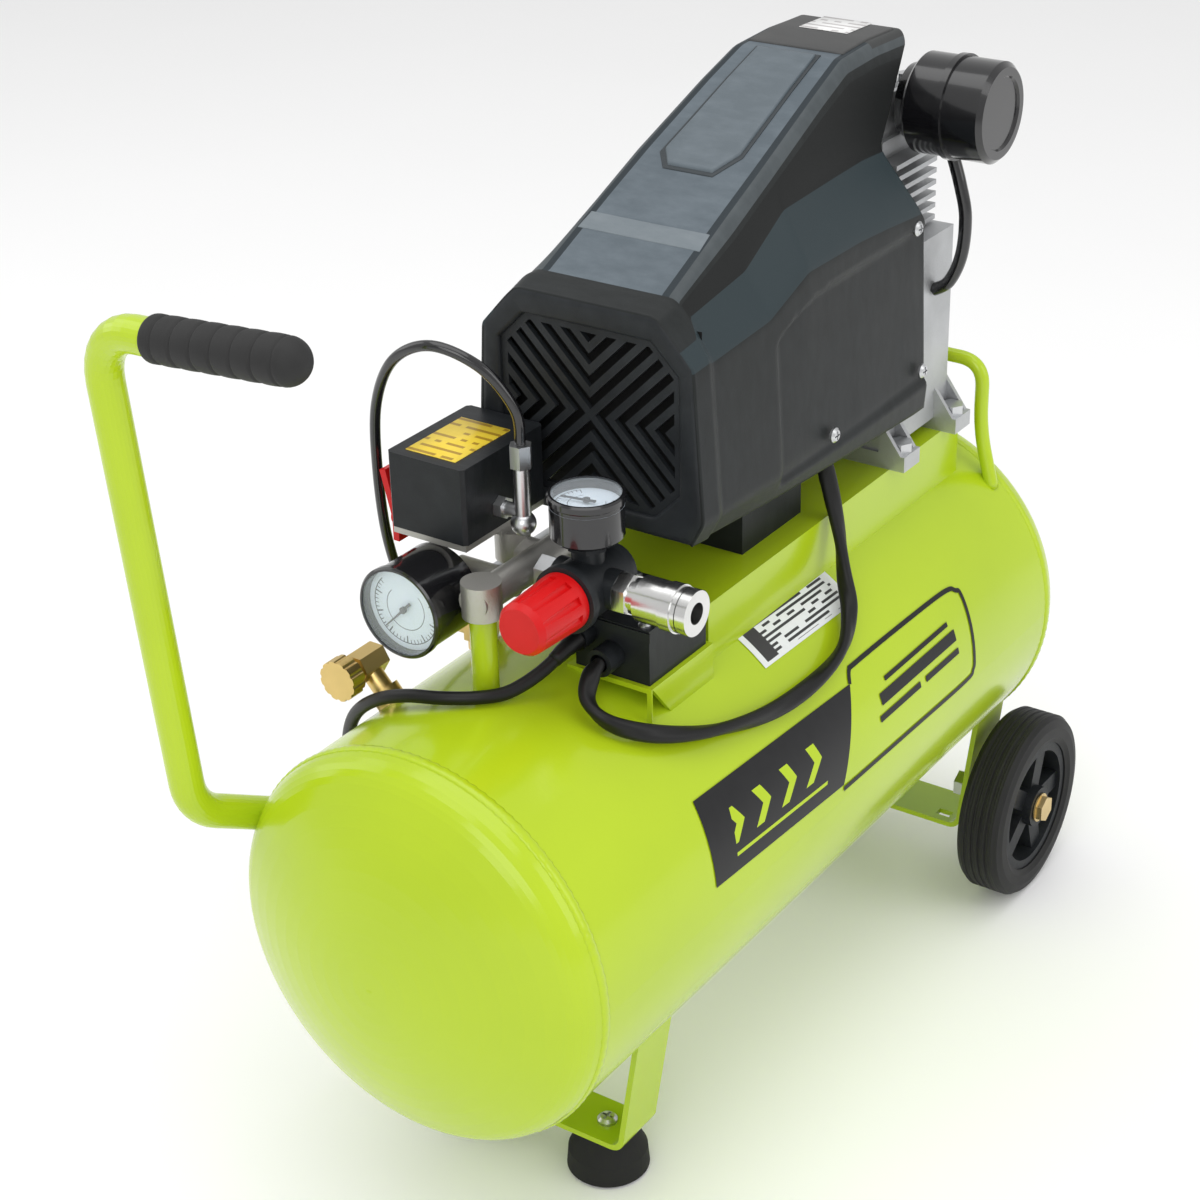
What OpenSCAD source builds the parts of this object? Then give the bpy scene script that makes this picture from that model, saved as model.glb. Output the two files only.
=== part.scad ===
// Portable oil-lubricated air compressor on a 24 litre tank.
// Origin on the ground under the middle of the object, +Z up, pull handle towards -Y.

/* [Tank] */
// Outer radius of the tank
tank_r = 117; // [116:0.5:117]
// Thickness of the tank's sheet
tank_wall = 2.5; // [2:0.1:3]
// Length of the straight shell
shell_len = 518; // [516:1:518]
// Height of the tank's axis
tank_z = 200; // [199.5:0.1:200]
// Distance of the tank's middle behind the origin
tank_y = 20; // [19:0.5:20]

/* [Handle] */
// Outer radius of the handle tube
tube_r = 9.5; // [8:0.1:9.5]
// Inside radius of the handle's bends
bend_r = 32; // [28:1:34]
// Outer radius of the rubber grip
grip_r = 12.5; // [12:0.1:13]
// Length of the rubber grip
grip_len = 101; // [95:1:101]

/* [Wheels and feet] */
// Outer radius of the tyres
wheel_r = 63.5; // [62:0.1:63.5]
// Width of a tyre
tyre_w = 32; // [28:1:32]
// Outer face of the tyres from the middle
wheel_x = 130.5; // [129:0.5:130.5]
// Radius of the axle bolts
axle_r = 5; // [4.5:0.1:5]
// Radial clearance of turning parts
run_gap = 0.05; // [0.03:0.01:0.08]
// Radius of a rubber foot
foot_r = 24.5; // [20:0.5:25]

/* [Pump and motor] */
// Height of the crankshaft
shaft_z = 425; // [424:0.5:426]
// Radius of the cylinder's bore
bore_r = 21; // [19:0.5:22]
// Throw of the crank
throw = 18; // [16:1:18]
// Length of the connecting rod between its eyes
rod_len = 62; // [60:1:62]
// Thickness of the motor cover's wall
cover_wall = 3; // [2.5:0.1:3]

/* [Controls] */
// Radius of the tank gauge's case
tank_gauge_r = 26.5; // [25:0.5:26.5]
// Radius of the outlet gauge's case
outlet_gauge_r = 21; // [20:0.5:22]
// Radius of the red regulator knob
knob_r = 16.5; // [15:0.5:18]
// Radius of the coupler's socket
socket_r = 6; // [5.5:0.1:6.5]

/* [Electric lead] */
// Radius of the power cord
cord_r = 3.75; // [3.5:0.05:3.75]
// Middle radius of the coiled lead
coil_r = 42.5; // [40:0.5:45]

/* [Hidden] */
$fn = 64;
shell_front = tank_y - shell_len / 2;
shell_rear = tank_y + shell_len / 2;
axle_y = 257;
leg_front_y = -156;
leg_rear_y = 238;
strap_t = 3.5;
grip_start = [-78, -312.1, 556];
grip_end = [22, -314, 564];
handle_low = [-117, -284, 270];
handle_top = [-117, -309, 553];
handle_root = [-107.5, -224, 238];
pipe_at = [-10, -162];
reg_at = [31, -122, 374];
coupler_z = 375;
tank_gauge_at = [-49, -185, 362];
valve_at = [-94, -162, 308];
switch_lo = [-79, -150, 392];
switch_hi = [-28, -77.3, 436];
box_lo = [16, -115, 318];
box_hi = [64, -59, 351];
filter_at = [0, 220, 549];
cyl_y = 215;
coil_at = [-214, 40, 0];
power_gland = [24, -115, 340];
motor_gland = [40, -115, 331];
cord_route = [
    [24, -125, 340], [23, -134, 338], [17, -150, 329], [8, -166, 322.5], [-3, -179, 322],
    [-20, -189, 321.5], [-41, -192, 318], [-63, -190, 308], [-85, -182, 290], [-103, -170, 266],
    [-116, -158, 237], [-122, -148, 202], [-124, -140, 150], [-127, -131, 100], [-131, -120, 55],
    [-139, -104, 22], [-150, -82, 7], [-159, -55, 4], [-165, -25, 4], [-168, 5, 4], [-168, 40, 4]];
motor_route = [
    [40, -128, 331], [41, -137, 328], [46, -147, 319], [60, -147, 310], [76, -128, 299],
    [89, -92, 287], [97, -45, 277.5], [99, 0, 275.5], [96, 38, 279], [87, 62, 290],
    [76, 75, 305], [69, 80, 330], [61, 80, 362], [54, 79, 388]];
relief_route = [
    [-12, -120, 444], [-13, -122, 464], [-26, -132, 488], [-50, -142, 499], [-76, -142, 486],
    [-95, -136, 455], [-102, -131, 415], [-102, -127, 370], [-97, -120, 335], [-88, -110, 315],
    [-77, -100, 309]];
hose_route = [
    [63, 220, 518.8], [68, 221, 502], [72, 222, 482], [71, 221, 458], [64, 220, 440], [54.2, 219, 433]];

green = "yellowgreen";
black = "dimgray";
dark = [0.12, 0.12, 0.12];
zinc = "silver";
brass = "goldenrod";
red = "red";

// ---- helpers ----

function unit(v) = v / norm(v);

// A cylinder from point a to point b.
module rod(a, b, r) {
    u = unit(b - a);
    side = abs(u[2]) > 0.9 ? [1, 0, 0] : [0, 0, 1];
    x = unit(cross(side, u));
    y = cross(u, x);
    multmatrix([[x[0], y[0], u[0], a[0]], [x[1], y[1], u[1], a[1]], [x[2], y[2], u[2], a[2]]])
        cylinder(h = norm(b - a), r = r);
}

// Length that a bend takes off each of its two straight runs.
function bend_cut(p, i, bend) = (i == 0 || i == len(p) - 1) ? 0 :
    bend * tan(acos(unit(p[i] - p[i - 1]) * unit(p[i + 1] - p[i])) / 2);

// A round bar along the points p, with a true bend of radius bend at each inner point.
module bent_rod(p, r, bend) {
    for (i = [0 : len(p) - 2]) {
        u = unit(p[i + 1] - p[i]);
        rod(p[i] + u * bend_cut(p, i, bend), p[i + 1] - u * bend_cut(p, i + 1, bend), r);
    }
    for (i = [1 : len(p) - 2]) {
        u = unit(p[i] - p[i - 1]);
        v = unit(p[i + 1] - p[i]);
        n = unit(v - u * (u * v));
        c = p[i] - u * bend_cut(p, i, bend) + n * bend;
        z = cross(-n, u);
        multmatrix([[-n[0], u[0], z[0], c[0]], [-n[1], u[1], z[1], c[1]], [-n[2], u[2], z[2], c[2]]])
            rotate_extrude(angle = acos(u * v)) translate([bend, 0]) circle(r);
    }
}

// A cylinder along +X, +Y or a ring of the same kind.
module along_x(p, h, r) { translate(p) rotate([0, 90, 0]) cylinder(h = h, r = r); }
module along_y(p, h, r) { translate(p) rotate([-90, 0, 0]) cylinder(h = h, r = r); }
module hex_y(p, h, flats) {
    translate(p) rotate([-90, 0, 0]) cylinder(h = h, r = flats / 2 / cos(30), $fn = 6);
}
module hex_x(p, h, flats) {
    translate(p) rotate([0, 90, 0]) cylinder(h = h, r = flats / 2 / cos(30), $fn = 6);
}
module hex_z(p, h, flats) { translate(p) cylinder(h = h, r = flats / 2 / cos(30), $fn = 6); }
module block(lo, hi) { translate(lo) cube(hi - lo); }
module mirrored() { children(); mirror([1, 0, 0]) children(); }

// Catmull-Rom point between p[i] and p[i + 1].
function knot(p, i) = p[max(0, min(len(p) - 1, i))];
function smooth_at(p, i, t) = 0.5 * (2 * knot(p, i) + (knot(p, i + 1) - knot(p, i - 1)) * t
    + (2 * knot(p, i - 1) - 5 * knot(p, i) + 4 * knot(p, i + 1) - knot(p, i + 2)) * t * t
    + (3 * knot(p, i) - knot(p, i - 1) - 3 * knot(p, i + 1) + knot(p, i + 2)) * t * t * t);
function smoothed(p, steps) = [
    for (i = [0 : len(p) - 2]) for (j = [0 : steps - 1]) smooth_at(p, i, j / steps),
    p[len(p) - 1]];
function heading(q, i) = unit(q[min(i + 1, len(q) - 1)] - q[max(i - 1, 0)]);
function level(n, t) = unit(n - t * (n * t));
function sides_of(q, i, n) = i >= len(q) ? [] :
    let (m = level(n, heading(q, i))) concat([m], sides_of(q, i + 1, m));

// Points along straight runs joined by arcs of radius bend, with steps points on each arc.
function arc_points(p, i, bend, steps) = let (u = unit(p[i] - p[i - 1]), v = unit(p[i + 1] - p[i]),
    n = unit(v - u * (u * v)), a = acos(u * v), c = p[i] - u * bend * tan(a / 2) + n * bend)
    [for (k = [0 : steps]) c + bend * (sin(a * k / steps) * u - cos(a * k / steps) * n)];
function rounded(p, bend, steps) = concat([p[0]],
    [for (i = [1 : len(p) - 2]) each arc_points(p, i, bend, steps)], [p[len(p) - 1]]);

// A tube of radius r along the route p, with flat ends: smooth through its points, or exactly on them.
module swept(p, r, steps, sides) { tube_along(smoothed(p, steps), r, sides); }
module tube_along(q, r, sides) {
    first = heading(q, 0);
    n = sides_of(q, 0, abs(first[2]) > 0.8 ? [1, 0, 0] : [0, 0, 1]);
    points = [for (i = [0 : len(q) - 1]) let (t = heading(q, i), b = cross(t, n[i]))
        for (k = [0 : sides - 1]) q[i] + r * (cos(360 * k / sides) * n[i] + sin(360 * k / sides) * b)];
    walls = [for (i = [0 : len(q) - 2]) for (k = [0 : sides - 1]) let (a = i * sides + k,
        b = i * sides + (k + 1) % sides) each [[a, a + sides, b], [b, a + sides, b + sides]]];
    last = (len(q) - 1) * sides;
    polyhedron(concat(points), concat(walls, [[for (k = [0 : sides - 1]) k]],
        [[for (k = [sides - 1 : -1 : 0]) last + k]]));
}

// ---- tank ----

knuckle = 22;
crown = 211.7;
crown_back = 164.2;

// Half outline of a dished head whose sheet lies t inside the outer skin.
function head_outline(t) = concat(
    [for (a = [0 : 10 : 60]) [tank_r - knuckle + (knuckle - t) * cos(a), (knuckle - t) * sin(a)]],
    [for (b = [27 : -3 : 0]) [(crown - t) * sin(b), -crown_back + (crown - t) * cos(b)]]);
function turned_back(p) = [for (i = [len(p) - 1 : -1 : 0]) p[i]];

module dished_head() {
    rotate_extrude() polygon(concat(head_outline(0), turned_back(head_outline(tank_wall))));
}

module solid_tank() {
    along_y([0, shell_front, tank_z], shell_len, tank_r);
    translate([0, shell_front, tank_z]) rotate([90, 0, 0])
        rotate_extrude() polygon(concat([[0, -1], [tank_r, -1]], head_outline(0)));
    translate([0, shell_rear, tank_z]) rotate([-90, 0, 0])
        rotate_extrude() polygon(concat([[0, -1], [tank_r, -1]], head_outline(0)));
}

drain_at = [0, 20, 76];

module tank_shell() {
    color(green) difference() {
        union() {
            along_y([0, shell_front, tank_z], shell_len, tank_r);
            translate(drain_at) cylinder(h = 10, r = 11);
        }
        along_y([0, shell_front - 1, tank_z], shell_len + 2, tank_r - tank_wall);
        translate(drain_at - [0, 0, 1]) cylinder(h = 16, r = 6 + run_gap);
    }
}
module tank_head_front() {
    color(green) translate([0, shell_front, tank_z]) rotate([90, 0, 0]) dished_head();
}
module tank_head_rear() {
    color(green) translate([0, shell_rear, tank_z]) rotate([-90, 0, 0]) dished_head();
}
module drain_valve() {
    color(brass) {
        translate([0, 20, 66]) cylinder(h = 19, r = 6);
        block([-11, 18, 58], [11, 22, 66]);
    }
}

// ---- handle, hoop and legs ----

module handle_tube() {
    inner_end = grip_start + unit(grip_end - grip_start) * 85;
    color(green) tube_along(rounded([inner_end, grip_start, handle_top, handle_low, handle_root], bend_r, 8), tube_r, 28);
}
grip_outline = concat([[tube_r, 0], [grip_r - 1.5, 0], [grip_r, 1.5]],
    [for (i = [0 : 5]) each [[grip_r, 9 + i * 13], [grip_r - 1.2, 10 + i * 13],
        [grip_r - 1.2, 12 + i * 13], [grip_r, 13 + i * 13]]],
    [[grip_r, grip_len - 10], [grip_r * 0.92, grip_len - 5], [grip_r * 0.71, grip_len - 1.6],
        [grip_r * 0.4, grip_len], [0, grip_len], [0, 85], [tube_r, 85]]);
module handle_grip() {
    u = unit(grip_end - grip_start);
    x = unit(cross([0, 0, 1], u));
    y = cross(u, x);
    g = grip_start;
    color(dark)
        multmatrix([[x[0], y[0], u[0], g[0]], [x[1], y[1], u[1], g[1]], [x[2], y[2], u[2], g[2]]])
        rotate_extrude() polygon(grip_outline);
}
module rear_hoop() {
    color(green) tube_along(rounded([[-77.4, 268, 285], [-67, 268, 325], [-67, 268, 371], [67, 268, 371],
        [67, 268, 325], [77.4, 268, 285]], 16, 6), 4.5, 16);
}
// Strap bent into a U under the tank: base from -half to half, sides leaning out to top_half.
module strap_leg(y, width, base_z, half, top_half) {
    t = strap_t;
    r = 10;
    outer = concat([[-top_half, 150]], [for (a = [180 : 15 : 270]) [-half + r + r * cos(a), base_z + r + r * sin(a)]],
        [for (a = [270 : 15 : 360]) [half - r + r * cos(a), base_z + r + r * sin(a)]], [[top_half, 150]]);
    inner = concat([[top_half - t, 150]],
        [for (a = [360 : -15 : 270]) [half - r + (r - t) * cos(a), base_z + r + (r - t) * sin(a)]],
        [for (a = [270 : -15 : 180]) [-half + r + (r - t) * cos(a), base_z + r + (r - t) * sin(a)]],
        [[-top_half + t, 150]]);
    translate([0, y + width, 0]) rotate([90, 0, 0]) linear_extrude(width) polygon(concat(outer, inner));
}
foot_x = 45;
foot_h = 28;
module leg_front() {
    color(green) difference() {
        strap_leg(leg_front_y, 34, foot_h, 68, 86);
        along_y([0, leg_front_y - 1, tank_z], 40, tank_r);
        mirrored() translate([foot_x, leg_front_y + 17, foot_h - 1]) cylinder(h = 6, r = 3);
    }
}
module leg_rear() {
    color(green) difference() {
        strap_leg(leg_rear_y, 38, 38, 82, 94);
        along_y([0, leg_rear_y - 1, tank_z], 44, tank_r);
        along_x([-120, axle_y, wheel_r], 240, axle_r);
        mirrored() block([60, leg_rear_y + 6, 37], [70, leg_rear_y + 13, 43]);
    }
}
module rubber_feet() {
    color(dark) mirrored() translate([foot_x, leg_front_y + 17, 0]) difference() {
        rotate_extrude() polygon([[0, 0], [foot_r - 2, 0], [foot_r, 2], [foot_r - 1, 14], [foot_r - 6, 24],
            [foot_r - 8, foot_h], [0, foot_h]]);
        translate([0, 0, 12]) cylinder(h = 20, r = 3);
    }
}
module axle_bolts() {
    color(zinc) mirrored() {
        along_x([76, axle_y, wheel_r], wheel_x - 76 + 4, axle_r);
        hex_x([70, axle_y, wheel_r], 6.2, 16);
        difference() {
            along_x([86.5, axle_y, wheel_r], 11, 8);
            along_x([86, axle_y, wheel_r], 12, axle_r);
        }
    }
}
module axle_nuts() {
    color(brass) mirrored() difference() {
        union() {
            hex_x([wheel_x + 0.4, axle_y, wheel_r], 5.1, 16);
            along_x([wheel_x + 0.4, axle_y, wheel_r], 0.9, 10);
        }
        along_x([wheel_x - 1, axle_y, wheel_r], 5, axle_r);
    }
}

hub_r = 45;
module wheel_hub() {
    x0 = wheel_x - tyre_w;
    translate([0, axle_y, wheel_r]) rotate([0, 90, 0]) difference() {
        union() {
            translate([0, 0, x0 + 3]) difference() {
                cylinder(h = tyre_w - 6, r = hub_r);
                translate([0, 0, -1]) cylinder(h = tyre_w, r = hub_r - 6);
            }
            translate([0, 0, x0]) cylinder(h = tyre_w, r = 14);
            for (i = [0 : 4]) rotate([0, 0, i * 72 + 18]) translate([10, -6.5, x0 + 12])
                cube([hub_r - 13, 13, tyre_w - 18]);
        }
        translate([0, 0, x0 - 1]) cylinder(h = tyre_w + 2, r = axle_r + run_gap);
    }
}
module tyre() {
    x0 = wheel_x - tyre_w;
    tread = [for (i = [0 : 3]) each [[wheel_r, x0 + 7 + i * 5], [wheel_r - 0.8, x0 + 7.5 + i * 5],
        [wheel_r - 0.8, x0 + 9 + i * 5], [wheel_r, x0 + 9.5 + i * 5]]];
    translate([0, axle_y, wheel_r]) rotate([0, 90, 0]) rotate_extrude()
        polygon(concat([[hub_r, x0 + 2], [hub_r + 4, x0], [wheel_r - 8, x0], [wheel_r - 2.5, x0 + 1.5],
            [wheel_r, x0 + 5]], tread, [[wheel_r, wheel_x - 5], [wheel_r - 2.5, wheel_x - 1.5],
            [wheel_r - 8, wheel_x], [hub_r + 4, wheel_x], [hub_r, wheel_x - 2]]));
}
module wheel_hub_right() { color(dark) wheel_hub(); }
module tyre_right() { color(dark) tyre(); }
module wheel_hub_left() { color(dark) mirror([1, 0, 0]) wheel_hub(); }
module tyre_left() { color(dark) mirror([1, 0, 0]) tyre(); }

// ---- pump and motor ----

saddle_z = 337;
module saddle_plate() {
    color(green) difference() {
        block([-60, -50, 290], [60, 250, saddle_z]);
        block([-56.5, -51, 280], [56.5, 251, saddle_z - 3.5]);
        solid_tank();
    }
}
lug_y = [168, 236];
bolt_x = 62;
module crankcase() {
    color(zinc) difference() {
        union() {
            block([-54, 160, saddle_z + 8], [54, 243, 468]);
            for (y = lug_y) block([-bolt_x - 8, y - 10, saddle_z], [bolt_x + 8, y + 10, saddle_z + 10]);
            mirrored() for (y = lug_y) for (side = [-10, 7]) translate([54, y + side, saddle_z + 9])
                rotate([90, 0, 0]) mirror([0, 0, 1]) linear_extrude(3) polygon([[-2, 0], [14, 0], [-2, 22]]);
        }
        block([-49, 176, saddle_z + 14], [49, 238, 462]);
        along_y([0, 159, shaft_z], 20, 8 + run_gap);
        along_y([0, 230, shaft_z], 20, 36);
        translate([0, cyl_y, 455]) cylinder(h = 20, r = bore_r + 3);
        mirrored() for (y = lug_y) translate([bolt_x, y, saddle_z - 1]) cylinder(h = 20, r = 4);
    }
}
module crankcase_cover() {
    color(zinc) {
        difference() {
            along_y([0, 243, shaft_z], 5, 42);
            along_y([0, 245.5, shaft_z], 5, 28);
        }
        along_y([0, 237, shaft_z], 6.1, 35.5);
        for (a = [0 : 60 : 300]) hex_y([35 * cos(a), 248, shaft_z + 35 * sin(a)], 3, 7);
    }
}
module finned_cylinder() {
    color(zinc) difference() {
        union() {
            block([-30, cyl_y - 24, 468], [30, cyl_y + 24, 521]);
            for (i = [0 : 6]) block([-42, cyl_y - 26, 470 + i * 7.4], [42, cyl_y + 26, 473 + i * 7.4]);
        }
        translate([0, cyl_y, 460]) cylinder(h = 70, r = bore_r);
    }
}
module cylinder_head() {
    color(zinc) {
        block([-42, cyl_y - 26, 521], [32, cyl_y + 26, 530]);
        block([-38, cyl_y - 22, 529.9], [28, cyl_y + 22, 546]);
        for (i = [0 : 7]) block([-40 + i * 9.4, cyl_y - 24, 529.9], [-37 + i * 9.4, cyl_y + 24, 556]);
        along_x([27.9, filter_at[1], filter_at[2] - 8], 6, 7);
        along_x([-44, cyl_y, 540], 7, 7);
    }
}
module hex_bolts() {
    color(zinc) {
        mirrored() for (y = lug_y) {
            hex_z([bolt_x, y, saddle_z + 10], 6, 13);
            translate([bolt_x, y, saddle_z]) cylinder(h = 11, r = 4);
        }
        for (x = [-34, 24]) for (y = [-17, 17]) hex_z([x, cyl_y + y, 556], 5, 10);
    }
}
crank_y = 180;
rod_y = 204;
pin_z = shaft_z - throw;
module crankshaft() {
    color("gray") {
        along_y([0, -58, shaft_z], crank_y + 58, 8);
        difference() {
            along_y([0, crank_y, shaft_z], 10, 29);
            mirrored() block([12, crank_y - 1, shaft_z - 30], [31, crank_y + 11, shaft_z]);
        }
        along_y([0, crank_y + 9, pin_z], 14.5, 6);
    }
}
module connecting_rod() {
    color("gray") difference() {
        union() {
            along_y([0, rod_y, pin_z], 10, 11);
            along_y([0, cyl_y - 18.5, pin_z + rod_len], 37, 5);
            along_y([0, rod_y, pin_z + rod_len], 10, 8);
            block([-5, rod_y + 1, pin_z + 9], [5, rod_y + 9, pin_z + rod_len - 6]);
        }
        along_y([0, rod_y - 1, pin_z], 12, 6.1);
    }
}
piston_lo = pin_z + rod_len - 14;
module piston() {
    color("silver") difference() {
        translate([0, cyl_y, piston_lo]) cylinder(h = 26, r = bore_r - run_gap);
        translate([0, cyl_y, piston_lo - 1]) cylinder(h = 22, r = bore_r - 4);
        along_y([0, cyl_y - 18.5, pin_z + rod_len], 37, 5);
        along_y([0, rod_y - 0.5, pin_z + rod_len], 11, 8.3);
    }
}
module motor_rotor() {
    color("gray") difference() {
        along_y([0, 2, shaft_z], 86, 35.4);
        along_y([0, 0, shaft_z], 92, 8);
    }
}
module motor_stator() {
    color("gray") {
        difference() {
            union() {
                along_y([0, 0, shaft_z], 90, 57);
                along_y([0, -14, shaft_z], 118, 53);
                block([-44, 12, saddle_z], [44, 78, saddle_z + 45]);
                block([44, 70, 388], [60, 90, 402]);
            }
            along_y([0, -20, shaft_z], 140, 36);
        }
    }
}
module cooling_fan() {
    color(dark) difference() {
        union() {
            along_y([0, -52, shaft_z], 20, 13);
            for (i = [0 : 8]) translate([0, -50, shaft_z]) rotate([-90, 0, 0]) rotate([0, 0, i * 40])
                translate([11, 0, 8]) rotate([35, 0, 0]) cube([41, 3, 18], center = false);
        }
        along_y([0, -60, shaft_z], 40, 8);
    }
}

// Sections of the motor cover: y, then half width and height at the bottom edge, lower side, top of the
// side bulge, valley, lower and upper edge of the deck.
cover_rows = [
    [-75.5, [66, 385], [74, 400], [68, 486], [60, 495], [52, 504], [45, 511]],
    [-60, [67, 384], [75, 399], [69, 488], [61, 498], [53, 508], [46, 515]],
    [-57, [65, 384], [73, 398], [67, 485], [53, 507], [48, 512], [43, 515]],
    [0, [68, 381], [74, 397], [68.5, 490], [52, 514], [46, 531], [42, 540.5]],
    [40, [69, 379], [74, 396], [69, 505], [52, 537], [45.5, 549], [41, 557.5]],
    [100, [70, 376], [74, 395], [68, 504], [51, 538], [42, 573], [38, 582]],
    [132, [70, 374], [73, 394], [68, 502], [50, 538], [40, 584], [36, 594]],
    [168, [70, 372], [72, 394], [68, 499], [50, 536], [39, 585], [35.5, 596]],
    [204, [69, 371], [71, 394], [66, 497], [49, 530], [38, 583], [35, 595]]];
// One closed ring of points at a section, moved in by t and lowered by drop at the bottom.
function cover_half(row, t, drop) = [
    [row[1][0] - t, row[1][1] - drop], [row[2][0] - t, row[2][1]], [row[3][0] - t, row[3][1] - t / 2],
    [row[4][0] - t, row[4][1] - t], [row[5][0] - t, row[5][1] - t / 2], [row[6][0] - t / 2, row[6][1] - t]];
function cover_ring(row, t, drop) = let (h = cover_half(row, t, drop)) concat(
    [for (i = [0 : 5]) [h[i][0], row[0], h[i][1]]], [for (i = [5 : -1 : 0]) [-h[i][0], row[0], h[i][1]]]);
module loft(rings) {
    n = len(rings[0]);
    points = [for (ring = rings) each ring];
    walls = [for (i = [0 : len(rings) - 2]) for (k = [0 : n - 1])
        let (a = i * n + k, b = i * n + (k + 1) % n) each [[a, b, a + n], [b, b + n, a + n]]];
    ends = concat([[for (k = [n - 1 : -1 : 0]) k]], [[for (k = [0 : n - 1]) (len(rings) - 1) * n + k]]);
    polyhedron(points, concat(walls, ends));
}
function moved_y(row, dy) = concat([row[0] + dy], [for (i = [1 : 6]) row[i]]);
grille_z = 446;
module grille_hole(grow, y, h) {
    w = 58 + grow;
    t = 51 + grow;
    c = 17;
    translate([0, y, grille_z]) rotate([-90, 0, 0]) linear_extrude(h)
        polygon([[w, t - c], [w, -t + c], [w - c, -t], [-w + c, -t], [-w, -t + c], [-w, t - c],
            [-w + c, t], [w - c, t]]);
}
module motor_cover() {
    last = len(cover_rows) - 1;
    color(dark) difference() {
        loft([for (row = cover_rows) cover_ring(row, 0, 0)]);
        loft([for (i = [0 : last]) cover_ring(i == 0 ? moved_y(cover_rows[0], 4) :
            i == last ? moved_y(cover_rows[last], 2) : cover_rows[i], cover_wall, 20)]);
        grille_hole(0, -80, 10);
        translate([-90, 0, 0]) rotate([90, 0, 90]) linear_extrude(180)
            polygon([[240, 587], [206, 587], [154, 540], [172, 500], [182, 484], [182, 350], [240, 350]]);
    }
}
bar_pitch = 9;
module grille_quarter() {
    intersection() {
        polygon([[0, 0], [70, 0], [70, 70], [0, 70]]);
        rotate(45) for (i = [-5 : 5]) translate([0, i * bar_pitch - 2.2]) square([110, 4.4]);
    }
}
module cover_grille() {
    w = 57.7;
    t = 50.7;
    c = 17;
    color(dark) translate([0, -69.5, grille_z]) rotate([90, 0, 0]) linear_extrude(3) {
        intersection() {
            polygon([[w, t - c], [w, -t + c], [w - c, -t], [-w + c, -t], [-w, -t + c], [-w, t - c],
                [-w + c, t], [w - c, t]]);
            union() {
                grille_quarter();
                mirror([1, 0]) grille_quarter();
                mirror([0, 1]) grille_quarter();
                mirror([1, 0]) mirror([0, 1]) grille_quarter();
            }
        }
        difference() {
            polygon([[w, t - c], [w, -t + c], [w - c, -t], [-w + c, -t], [-w, -t + c], [-w, t - c],
                [-w + c, t], [w - c, t]]);
            polygon([[w - 4, t - c - 2], [w - 4, -t + c + 2], [w - c - 2, -t + 4], [-w + c + 2, -t + 4],
                [-w + 4, -t + c + 2], [-w + 4, t - c - 2], [-w + c + 2, t - 4], [w - c - 2, t - 4]]);
        }
    }
}
module screw_head(r) {
    difference() {
        rotate_extrude() polygon([[0, 0], [r, 0], [r, r * 0.3], [r * 0.7, r * 0.6], [0, r * 0.7]]);
        translate([-r * 0.6, -r * 0.12, r * 0.35]) cube([r * 1.2, r * 0.24, r]);
        translate([-r * 0.12, -r * 0.6, r * 0.35]) cube([r * 0.24, r * 1.2, r]);
    }
}
module cross_screws() {
    color(zinc) {
        for (p = [[74, 62, 400], [72, 172, 400], [67.6, 168, 490]]) mirrored()
            translate([p[0] - 0.2, p[1], p[2]]) rotate([0, 90, 0]) screw_head(4.5);
        for (p = [[58, -110], [58, -65], [22, -64]]) translate([p[0], p[1], box_hi[2]]) screw_head(3.5);
        mirrored() translate([foot_x, leg_front_y + 17, foot_h + strap_t]) screw_head(6);
        mirrored() translate([foot_x, leg_front_y + 17, 14]) cylinder(h = foot_h + strap_t - 14, r = 3);
    }
}
drum_r = 30;
module filter_drum() {
    color("black") translate([0, filter_at[1], filter_at[2]]) rotate([0, 90, 0]) rotate_extrude()
        polygon([[0, 34], [22, 34], [24, 40], [drum_r - 2, 42], [drum_r, 44], [drum_r, 64],
            [drum_r + 1.5, 64], [drum_r + 1.5, 68], [drum_r, 68], [drum_r, 91], [drum_r - 3, 94],
            [drum_r - 8, 94], [drum_r - 9, 92.5], [0, 92.5]]);
}
module breather_hose() { color(black) swept(hose_route, 4, 3, 10); }

// ---- air lines ----

module delivery_pipe() {
    color("silver") bent_rod([[-44.1, cyl_y, 540], [-76, cyl_y, 540], [-76, cyl_y, 327], [-76, -95, 327],
        [-64, -95, 327]], 5, 10);
}
module check_valve() {
    color(brass) difference() {
        union() {
            translate([-64, -95, 296]) cylinder(h = 20, r = 8);
            hex_z([-64, -95, 303], 12, 19);
            translate([-64, -95, 315]) cylinder(h = 20, r = 8);
            along_x([-76.8, -99, 309], 8, 4.5);
        }
        solid_tank();
        along_x([-74, -95, 327], 10, 5);
    }
}
module relief_tube() { color(black) swept(relief_route, 3, 3, 10); }
module pipe_fittings() {
    color(zinc) {
        // unloader elbow on the switch's right side
        translate([-12, -120, 402]) cylinder(h = 30, r = 4.5);
        hex_z([-12, -120, 431], 13, 11);
        translate([-12, -120, 398]) sphere(r = 7);
        along_x([switch_hi[0] + 0.1, -120, 404], 16, 4);
        hex_x([switch_hi[0] + 0.1, -120, 404], 5, 11);
        // nipple between manifold and regulator
        hex_x([1, reg_at[1], reg_at[2]], 10, 17);
        along_x([-0.4, reg_at[1], reg_at[2]], 12, 6);
    }
}
module standpipe() {
    color(green) difference() {
        translate([pipe_at[0], pipe_at[1], 305]) cylinder(h = 57, r = 7.3);
        solid_tank();
    }
}
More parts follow.
